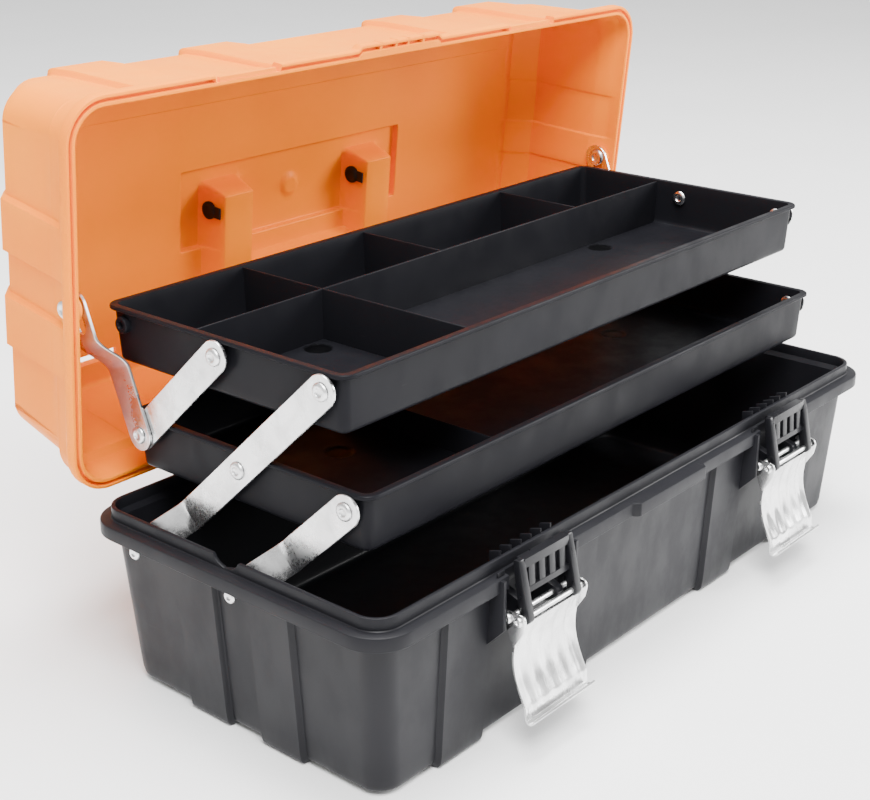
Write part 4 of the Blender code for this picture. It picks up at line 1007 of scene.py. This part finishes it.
def build_trays(s):
    full = s.height - s.wall - 0.0004
    upper = [("X", LONG_DIVIDER, -1, 1, full), ("Y", CROSS_DIVIDER, -1, 1, full)]
    upper += [("Y", x, LONG_DIVIDER, 1, full) for x in REAR_DIVIDERS]
    middle = [("Y", MIDDLE_DIVIDER, -1, 1, 0.0166)]
    build_tray(s, "upper_tray_moulding", "upper_tray_assembly", TOP_PIVOT[0], TOP_PIVOT[1] + PIVOT_DROP,
               upper,
               "upper_tray", "upper")
    build_tray(s, "middle_tray_moulding", "middle_tray_assembly", MID_PIVOT[0], MID_PIVOT[1] + PIVOT_DROP,
               middle,
               "middle_tray", "middle")


# ---------------------------------------------------------------- steel links and rivets
HOLE_R = 0.0027
STRAP_X = 0.2216
BRACKET_X = STRAP_X + 0.0015 + CLEAR
ARM_TUB_X = 0.2355
BRACKET_LID_X = 0.2382
BRACKET_CRANK, ARM_CRANK = (0.037, 0.058), (0.010, 0.0345)
SLOT = (0.07035, 0.0060, 0.0037)  # middle from the pivot, half travel, half width
BRACKET_LEAN = 68.79  # degrees from Y, lid open
WALL_STEP = 0.0063  # arm on the tub to the outer face of a band
TRAY_END, TRAY_BITE = 0.2212, 0.0026  # half length of a tray, wall and head inside it
STUD_END_X = 0.2476


def strap(start, end, width, thick, crank, x_start, x_end, holes, edge=0.00028):
    """Bar with round ends: at each station along it the section runs from the hole's edge to the round
    outline.

    Half width is the root of the end radius squared less the overrun squared; the set-over is a smooth step.
    """
    length, radius = math.dist(start, end), width / 2
    quarter = radius * np.sin(np.linspace(0, math.pi / 2, 13))
    stations = [np.linspace(0, length, int(length / 0.004)), -quarter, length + quarter]
    for a, b, r in holes:
        turn = r * np.sin(np.linspace(0, math.pi / 2, 8))
        stations += [a - turn, a + turn, b - turn, b + turn] if b > a else [a - turn, a + turn]
    if crank:
        stations.append(np.linspace(crank[0], crank[1], 13))
    u = np.unique(np.round(np.concatenate(stations), 7))
    u = u[np.concatenate([[True], np.diff(u) > 2e-6])]
    over = np.maximum(0, np.maximum(-u, u - length))
    wide = np.sqrt(np.maximum(0, radius ** 2 - over ** 2))
    cut = np.zeros_like(u)
    for a, b, r in holes:
        off = np.maximum(0, np.maximum(a - u, u - b))
        cut = np.maximum(cut, np.sqrt(np.maximum(0, r ** 2 - off ** 2)) * (off < r))
    e = np.minimum(edge, (wide - cut) / 2)
    middle = (wide - e + cut) / 2
    across = np.stack([cut, middle, wide - e, wide, wide, wide - e, middle, cut], -1)
    through = np.stack([0 * u, 0 * u, 0 * u, e, thick - e, thick + 0 * u, thick + 0 * u, thick + 0 * u], -1)
    angle = math.atan2(end[1] - start[1], end[0] - start[0])
    k = np.clip((u - crank[0]) / (crank[1] - crank[0]), 0, 1) if crank else 0 * u
    shift = (x_start + (x_end - x_start) * k * k * (3 - 2 * k))[:, None]
    lanes = []
    for side in (-1, 1):
        y = start[0] + u[:, None] * math.cos(angle) - side * across * math.sin(angle)
        z = start[1] + u[:, None] * math.sin(angle) + side * across * math.cos(angle)
        points = np.stack([shift + through, y, z], -1)
        quads = grid_quads(len(u), 8)
        i = np.nonzero(np.maximum(cut[:-1], cut[1:]) > 0)[0]
        walls = np.stack([i * 8 + 7, i * 8, (i + 1) * 8, (i + 1) * 8 + 7], -1)
        lanes.append(Solid(points, np.concatenate([quads, walls])))
    return together(lanes)


def lid_stud_place():
    """The lid stud in the open pose: its shut place turned back about the hinge."""
    s = bpy.context.scene.toolbox_moulding
    y, z = s.width / 2 + LID_OVER / 3 - LID_STUD[0], s.tub_height + CLEAR + LID_STUD[1]
    return tuple(turn_points(np.array([0.0, y, z]), HINGE, -OPEN_ANGLE)[1:])


def build_links(s):
    """Arms and lid brackets of both ends."""
    m, hole = materials(), HOLE_R
    low, high = math.dist(TUB_REAR, MID_PIVOT), math.dist(MID_PIVOT, TOP_FRONT)
    bracket_angle = math.radians(BRACKET_LEAN)
    reach = SLOT[0] + SLOT[1]
    far = (MID_REAR[0] + reach * math.cos(bracket_angle), MID_REAR[1] + reach * math.sin(bracket_angle))
    w, t = s.strap_width, s.strap_thickness
    arms = {
        "long_arm": strap(TUB_REAR, TOP_FRONT, w, t, ARM_CRANK, ARM_TUB_X, STRAP_X,
                          [(0, 0, hole), (low, low, hole), (low + high, low + high, hole)]),
        "front_arm": strap(TUB_FRONT, MID_FRONT, w, t, ARM_CRANK, ARM_TUB_X, STRAP_X, [(0, 0, hole),
                (low, low, hole)]),
        "rear_arm": strap(MID_REAR, TOP_PIVOT, w, t, None, STRAP_X, STRAP_X, [(0, 0, hole),
                (high, high, hole)]),
        "lid_bracket": strap(MID_REAR, far, w, s.bracket_thickness, BRACKET_CRANK, BRACKET_X, BRACKET_LID_X,
                             [(0, 0, hole), (SLOT[0] - SLOT[1], SLOT[0] + SLOT[1], SLOT[2])]),
    }
    for side, sign in SIDES:
        for label, solid in arms.items():
            node = f"{side}_{label}"
            make_piece(node + "_strap", handed(solid, sign), m["strap"], node + "_body", [node])


def head(x, way, radius, tall=0.0015):
    """Half of a rivet head from its centre out to its rim: a shallow cup inside a rounded ring."""
    r, h = radius, tall * way
    return [(x + h * 0.42, 0), (x + h * 0.42, r * 0.30), (x + h * 0.60, r * 0.40), (x + h * 0.92, r * 0.47),
            (x + h, r * 0.56),
            (x + h * 0.97, r * 0.70), (x + h * 0.78, r * 0.86), (x + h * 0.42, r * 0.97), (x + h * 0.18, r),
            (x, r)]


def rivet(x0, x1, centre, r0, r1, shank=0.0024):
    """Rivet through x0 to x1 with a ringed head at each end."""
    return lathe([*head(x0, -1, r0), (x0, shank), (x1, shank), *head(x1, 1, r1)[::-1]], centre)


def build_rivets(s):
    m, r = materials(), s.rivet_head
    tray_in = TRAY_END - TRAY_LIP - TRAY_DRAFT - TRAY_BITE
    out = STRAP_X + s.strap_thickness + CLEAR
    wall_out = ARM_TUB_X + s.strap_thickness + WALL_STEP + CLEAR
    wide_out = BRACKET_X + s.bracket_thickness + CLEAR
    places = [("rivet_tub_rear", "base", TUB_REAR, ARM_TUB_X - CLEAR, wall_out, 0.0038),
              ("rivet_tub_front", "base", TUB_FRONT, ARM_TUB_X - CLEAR, wall_out, 0.0038),
              ("rivet_middle", "middle_tray_assembly", MID_PIVOT, tray_in, out, r),
              ("rivet_middle_front", "middle_tray_assembly", MID_FRONT, tray_in, out, r),
              ("rivet_middle_rear", "middle_tray_assembly", MID_REAR, tray_in, wide_out, r),
              ("rivet_upper", "upper_tray_assembly", TOP_PIVOT, tray_in, out, r),
              ("rivet_upper_front", "upper_tray_assembly", TOP_FRONT, tray_in, out, r)]
    for side, sign in SIDES:
        for label, body, centre, x0, x1, outer in places:
            solid = rivet(x0, x1, centre, r, outer)
            make_piece(f"{side}_{label}_formed", handed(solid, sign), m["rivet"], body,
                       [f"{side}_{label}"])
        stud = rivet(BRACKET_LID_X - CLEAR, STUD_END_X, lid_stud_place(), r + 0.001, r)
        make_piece(f"{side}_lid_stud_formed", handed(stud, sign), m["rivet"], "lid_assembly",
                   [f"{side}_lid_stud"])
    for side, cx in (("left", -HINGE_X), ("right", HINGE_X)):
        reach = LID_KNUCKLE + 2 * CLEAR + 2 * TUB_KNUCKLE
        pin = rivet(cx - reach, cx + reach, HINGE, 0.0032, 0.0032, 0.0020)
        make_piece(f"{side}_hinge_pin_formed", pin, m["rivet"], "base", [f"{side}_hinge_pin"])


# ---------------------------------------------------------------- handle
HANDLE_DEP = 0.0830  # lid rim to the handle's axis
GRIP_HALF, GRIP_PITCH = 0.046, 0.0115


def build_handle(s):
    """U handle: a rounded oblong section carried down one arm, round the bend, along the grip and back."""
    z0 = s.tub_height + CLEAR + HANDLE_DEP
    half_w, half_t, turn = ARM_HALF, 0.0050, 0.0125
    a = np.linspace(0, math.tau, 40, endpoint=False)
    section = np.stack([np.sign(np.cos(a)) * np.abs(np.cos(a)) ** 0.45 * half_w,
                        np.sign(np.sin(a)) * np.abs(np.sin(a)) ** 0.45 * half_t], -1)
    down = np.linspace(-half_t, GRIP[0] - turn, 26)
    corner = arc((-ARM_X + turn, GRIP[0] - turn), turn, 180, 90, 9)
    half = np.concatenate([np.stack([np.full(26, -ARM_X), down], -1), corner[1:]])
    run = np.linspace(-ARM_X + turn, 0, 34)[1:]
    half = np.concatenate([half, np.stack([run, np.full(33, GRIP[0])], -1)])
    flat = np.concatenate([half, (half * (-1, 1))[-2::-1]])
    path = np.concatenate([flat, np.full((len(flat), 1), z0)], 1)
    solid = sweep(section, path, (0, 0, 1))
    p = solid.points
    taper = np.sqrt(np.clip(1 - (np.minimum(p[:, 1], 0) / half_t) ** 2, 0.0, 1))
    p[:, 2] = z0 + (p[:, 2] - z0) * np.maximum(taper, 0.02)
    grip = between(p[:, 0], -GRIP_HALF, GRIP_HALF, 0.004) * (p[:, 1] > GRIP[0] - 0.011) * (p[:, 2] < z0)
    p[:, 2] += grip * 0.0005 * (1 - np.cos(p[:, 0] * math.tau / GRIP_PITCH))
    solid.points = p
    make_piece("handle_moulding", solid.turned(HINGE, -OPEN_ANGLE), materials()["handle"], "handle",
               ["carry_handle"], 50)
    reach = ARM_HALF + ARM_PLAY + POCKET_WALL + CLEAR
    for side, sign in SIDES:
        c = sign * ARM_X
        peg = [(c - reach - 0.0030, 0), (c - reach - 0.0030, 0.0030), (c - reach - 0.0027, 0.0046),
               (c - reach - 0.0020, 0.0056),
               (c - reach - 0.0011, 0.0058), (c - reach - 0.0002, 0.0056), (c - reach, 0.0050),
               (c - reach, 0.0025),
               (c + reach - 0.0003, 0.0025), (c + reach, 0.0022), (c + reach, 0)]
        foot = s.tub_height + CLEAR + POCKET[0] - POCKET_WALL
        tail = bar(rectangle(-0.0036, 0.0036, foot, z0), "X", c - reach - 0.0018, c - reach - 0.0004, 0.0003)
        make_piece(f"{side}_handle_axle_peg", together([lathe(peg, (0.0, z0)), tail]).turned(HINGE,
                -OPEN_ANGLE),
                   materials()["handle"], "lid_assembly", [f"{side}_handle_axle"])


# ---------------------------------------------------------------- latches
HOOK_HALF, HOOK_ARM = 0.0230, 0.0048
LEVER_DROP, LEVER_THICK = 0.053, 0.0011
PIN_HEAD, PIN_R = 0.0027, 0.0015


def lever_sheet(cx, across):
    """Lever plate: down the plate it bows outwards and lips over; across it shallow flutes follow a
    cosine."""
    lz = LEVER_AXIS[1]
    y0 = HOOK_AXIS[0] + 0.0030
    s = np.linspace(0, 1, 40)
    y = y0 - 0.0020 + 0.0052 * np.sin(math.pi * np.minimum(s * 1.15, 1.0)) - 0.0070 * s * s
    z = lz - 0.0042 - LEVER_DROP * s
    y = np.concatenate([y, y[-1] - np.array([0.0012, 0.0026, 0.0038, 0.0047, 0.0052])])
    z = np.concatenate([z, z[-1] + np.array([-0.0008, -0.0008, -0.0002, 0.0010, 0.0022])])
    depth = np.concatenate([np.sin(math.pi * np.clip((s - 0.04) / 0.90, 0, 1)) ** 0.4, np.zeros(5)])
    flutes = 0.00035 * np.cos(across * math.tau / 0.0105) * between(np.abs(across), -1, 0.0215, 0.0015)
    curl = -0.0016 * step_up(np.abs(across), LEVER_HALF - 0.0022, 0.0016)
    yy = y[:, None] + depth[:, None] * (flutes + curl)[None]
    return np.stack([cx + across[None] + 0 * yy, yy, z[:, None] + 0 * yy], -1)


def build_latches(s):
    """Fluted steel lever with two ears, moulded hook with ribs between its arms, and their two pins."""
    m = materials()
    (ly, lz), (hy, _) = LEVER_AXIS, HOOK_AXIS
    face = -s.width / 2
    top = s.tub_height + 0.0085
    across = np.linspace(-LEVER_HALF + 0.0002, LEVER_HALF - 0.0002, 89)
    y0 = hy + 0.0030
    for side, cx in LATCHES:
        solids = [thick_sheet(lever_sheet(cx, across), LEVER_THICK)]
        for sign in (-1, 1):
            lo, hi = sorted((cx + sign * LEVER_HALF, cx + sign * (LEVER_HALF - 0.0012)))
            ear = [*arc((ly, lz), 0.0042, -50, 90, 9), *arc((hy, lz), 0.0042, 90, 180, 7),
                   (hy - 0.0030, lz - 0.0060),
                   (y0 + 0.0002, lz - 0.0160), (y0 + 0.0012, lz - 0.0160)]
            solids.append(bar(ear, "X", lo, hi, 0.0003))
        make_piece(f"{side}_lever_pressing", together(solids), m["lever"], f"{side}_latch",
                   [f"{side}_latch_lever"])
        inner = HOOK_HALF - HOOK_ARM
        arm = [*arc((hy, lz), 0.0034, 180, 360, 13), (face - 0.0010, top - 0.004), (face - 0.0010,
                top - 0.0008),
               (face - 0.0018, top), (face - 0.0046, top), (face - 0.0052, top - 0.0008)]
        solids = []
        for sign in (-1, 1):
            lo, hi = sorted((cx + sign * HOOK_HALF, cx + sign * inner))
            solids.append(bar(arm, "X", lo, hi, 0.0006))
        nose = top - 0.0044
        block = [(face - 0.0012, lz + 0.013), (face - 0.0012, nose), (face + 0.0009, nose), (face + 0.0009,
                top - 0.0010),
                 (face + 0.0001, top - 0.0002), (face - 0.0040, top - 0.0002), (face - 0.0041, lz + 0.013)]
        solids.append(bar(block, "X", cx - inner - 0.001, cx + inner + 0.001, 0.0003))
        cap = rectangle(face - 0.0056, face - 0.0012, top - 0.0052, top)
        solids.append(bar(cap, "X", cx - inner - 0.001, cx + inner + 0.001, 0.0006))
        foot = [(face - 0.0012, lz + 0.0115), (face - 0.0012, lz + 0.0155), (face - 0.0066, lz + 0.0151),
                (face - 0.0070, lz + 0.012)]
        solids.append(bar(foot, "X", cx - inner - 0.001, cx + inner + 0.001, 0.0004))
        for k in range(4):
            x = cx + (k - 1.5) * 0.0088
            rib = [(face - 0.0030, lz + 0.013), (face - 0.0030, top - 0.003), (face - 0.0053, top - 0.003),
                   (face - 0.0066, lz + 0.013)]
            solids.append(bar(rib, "X", x - 0.0026, x + 0.0026, 0.0005))
        make_piece(f"{side}_hook_moulding", together(solids), m["latch"], f"{side}_hook",
                   [f"{side}_latch_hook"])
        end = LEVER_HALF + CLEAR
        for label, y, body in (("lever_pin", ly, "base"), ("hook_pin", hy, f"{side}_latch")):
            pin = rivet(cx - end, cx + end, (y, lz), PIN_HEAD, PIN_HEAD, PIN_R)
            make_piece(f"{side}_{label}_formed", pin, m["rivet"], body,
                       [f"{side}_latch_{label}"])


# ---------------------------------------------------------------- studio
CAMERA = (-0.7185, -0.5467, 0.4753)
VIEW = (-49.48, 21.16)
FLOOR_Z = -0.0004
LENS, SHIFT = 64.9, (-0.0024, -0.0030)
LIGHTS = (  # name, place, target, size, power
    ("key", (-0.9, -0.9, 1.9), (0.0, 0.0, 0.15), 1.1, 90.0),
    ("side", (1.6, -1.3, 0.9), (0.0, 0.0, 0.1), 1.0, 62.0),
    ("top", (0.1, 0.2, 2.2), (0.0, 0.0, 0.1), 1.2, 90.0),
)


def soft_light(name, place, target, size, power):
    data = bpy.data.lights.new(name, "AREA")
    data.shape, data.size, data.energy = "DISK", size, power
    light = bpy.data.objects.new(name, data)
    light.location = place
    light.rotation_euler = (Vector(target) - Vector(place)).to_track_quat("-Z", "Y").to_euler()
    bpy.context.scene.collection.objects.link(light)


def build_stage(finish):
    """Pale floor, soft lights from above and both sides, and the camera."""
    r = Recipe("studio_floor")
    pale = tuple(finish.floor)
    r.link(r.colour(r.noise(3.0, 2.0), [(0.3, shade(pale, 0.985)), (0.7, shade(pale, 1.015))]),
           r.shader.inputs["Base Color"])
    r.link(r.ranged(r.noise(30.0, 3.0), 0.3, 0.7, 0.55, 0.65), r.shader.inputs["Roughness"])
    mesh = bpy.data.meshes.new("floor")
    mesh.from_pydata([(x, y, FLOOR_Z) for x, y in rectangle(-6, 6, -6, 6)], [], [(0, 1, 2, 3)])
    mesh.materials.append(r.material)
    floor = bpy.data.objects.new("floor", mesh)
    bpy.context.scene.collection.objects.link(floor)
    world = bpy.data.worlds.new("studio")
    world.use_nodes = True
    world.node_tree.nodes["Background"].inputs["Color"].default_value = (1.0, 1.0, 1.0, 1.0)
    world.node_tree.nodes["Background"].inputs["Strength"].default_value = 1.0
    bpy.context.scene.world = world
    for light in LIGHTS:
        soft_light(*light)
    camera = bpy.data.objects.new("camera", bpy.data.cameras.new("camera"))
    az, el = math.radians(VIEW[0]), math.radians(VIEW[1])
    back = Vector((math.sin(az) * math.cos(el), -math.cos(az) * math.cos(el), math.sin(el)))
    camera.location = CAMERA
    camera.rotation_euler = (-back).to_track_quat("-Z", "Y").to_euler()
    camera.data.lens, camera.data.sensor_width = LENS, 36.0
    camera.data.shift_x, camera.data.shift_y = SHIFT
    camera.data.clip_start = 0.05
    bpy.context.scene.collection.objects.link(camera)
    bpy.context.scene.camera = camera


# ---------------------------------------------------------------- operators, panel and main
def operator(name, label, text, group, build):
    """Operator class that builds one group of pieces from one group of sizes."""

    def execute(self, context):
        build(getattr(context.scene, group))
        return {"FINISHED"}

    return type("TOOLBOX_OT_" + name, (bpy.types.Operator,),
                {"bl_idname": "toolbox." + name, "bl_label": label, "__doc__": text, "execute": execute})


OPERATORS = [
    operator("tub", "Tub", "Build the black tub moulding", "toolbox_moulding", build_tub),
    operator("lid", "Lid", "Build the orange lid moulding", "toolbox_moulding", build_lid),
    operator("trays", "Trays", "Build the two lifting trays", "toolbox_tray", build_trays),
    operator("links", "Steel links", "Build the arms and the lid brackets", "toolbox_link", build_links),
    operator("rivets", "Rivets", "Build the rivets, studs and hinge pins", "toolbox_link", build_rivets),
    operator("handle", "Handle", "Build the folding handle and its pegs", "toolbox_moulding", build_handle),
    operator("latches", "Latches", "Build the levers, hooks and pins of the latches", "toolbox_moulding",
             build_latches),
    operator("stage", "Studio", "Build the floor, the lights and the camera", "toolbox_finish", build_stage),
]


class TOOLBOX_PT_panel(bpy.types.Panel):
    """Sidebar panel that lists the tool box operators."""

    bl_label = "Tool Box"
    bl_idname = "TOOLBOX_PT_panel"
    bl_space_type = "VIEW_3D"
    bl_region_type = "UI"
    bl_category = "Tool Box"

    def draw(self, context):
        for kind in OPERATORS:
            self.layout.operator(kind.bl_idname)
        for name, group in GROUPS:
            box = self.layout.box()
            box.label(text=group.__doc__)
            for key in group.__annotations__:
                box.prop(getattr(context.scene, name), key)


def register():
    for name, group in GROUPS:
        bpy.utils.register_class(group)
        setattr(bpy.types.Scene, name, bpy.props.PointerProperty(type=group))
    for kind in (*OPERATORS, TOOLBOX_PT_panel):
        bpy.utils.register_class(kind)


def unregister():
    for kind in (TOOLBOX_PT_panel, *reversed(OPERATORS)):
        bpy.utils.unregister_class(kind)
    for name, group in reversed(GROUPS):
        delattr(bpy.types.Scene, name)
        bpy.utils.unregister_class(group)


def main():
    register()
    for kind in OPERATORS:
        getattr(bpy.ops.toolbox, kind.bl_idname.split(".")[1])()


if __name__ == "__main__":
    main()
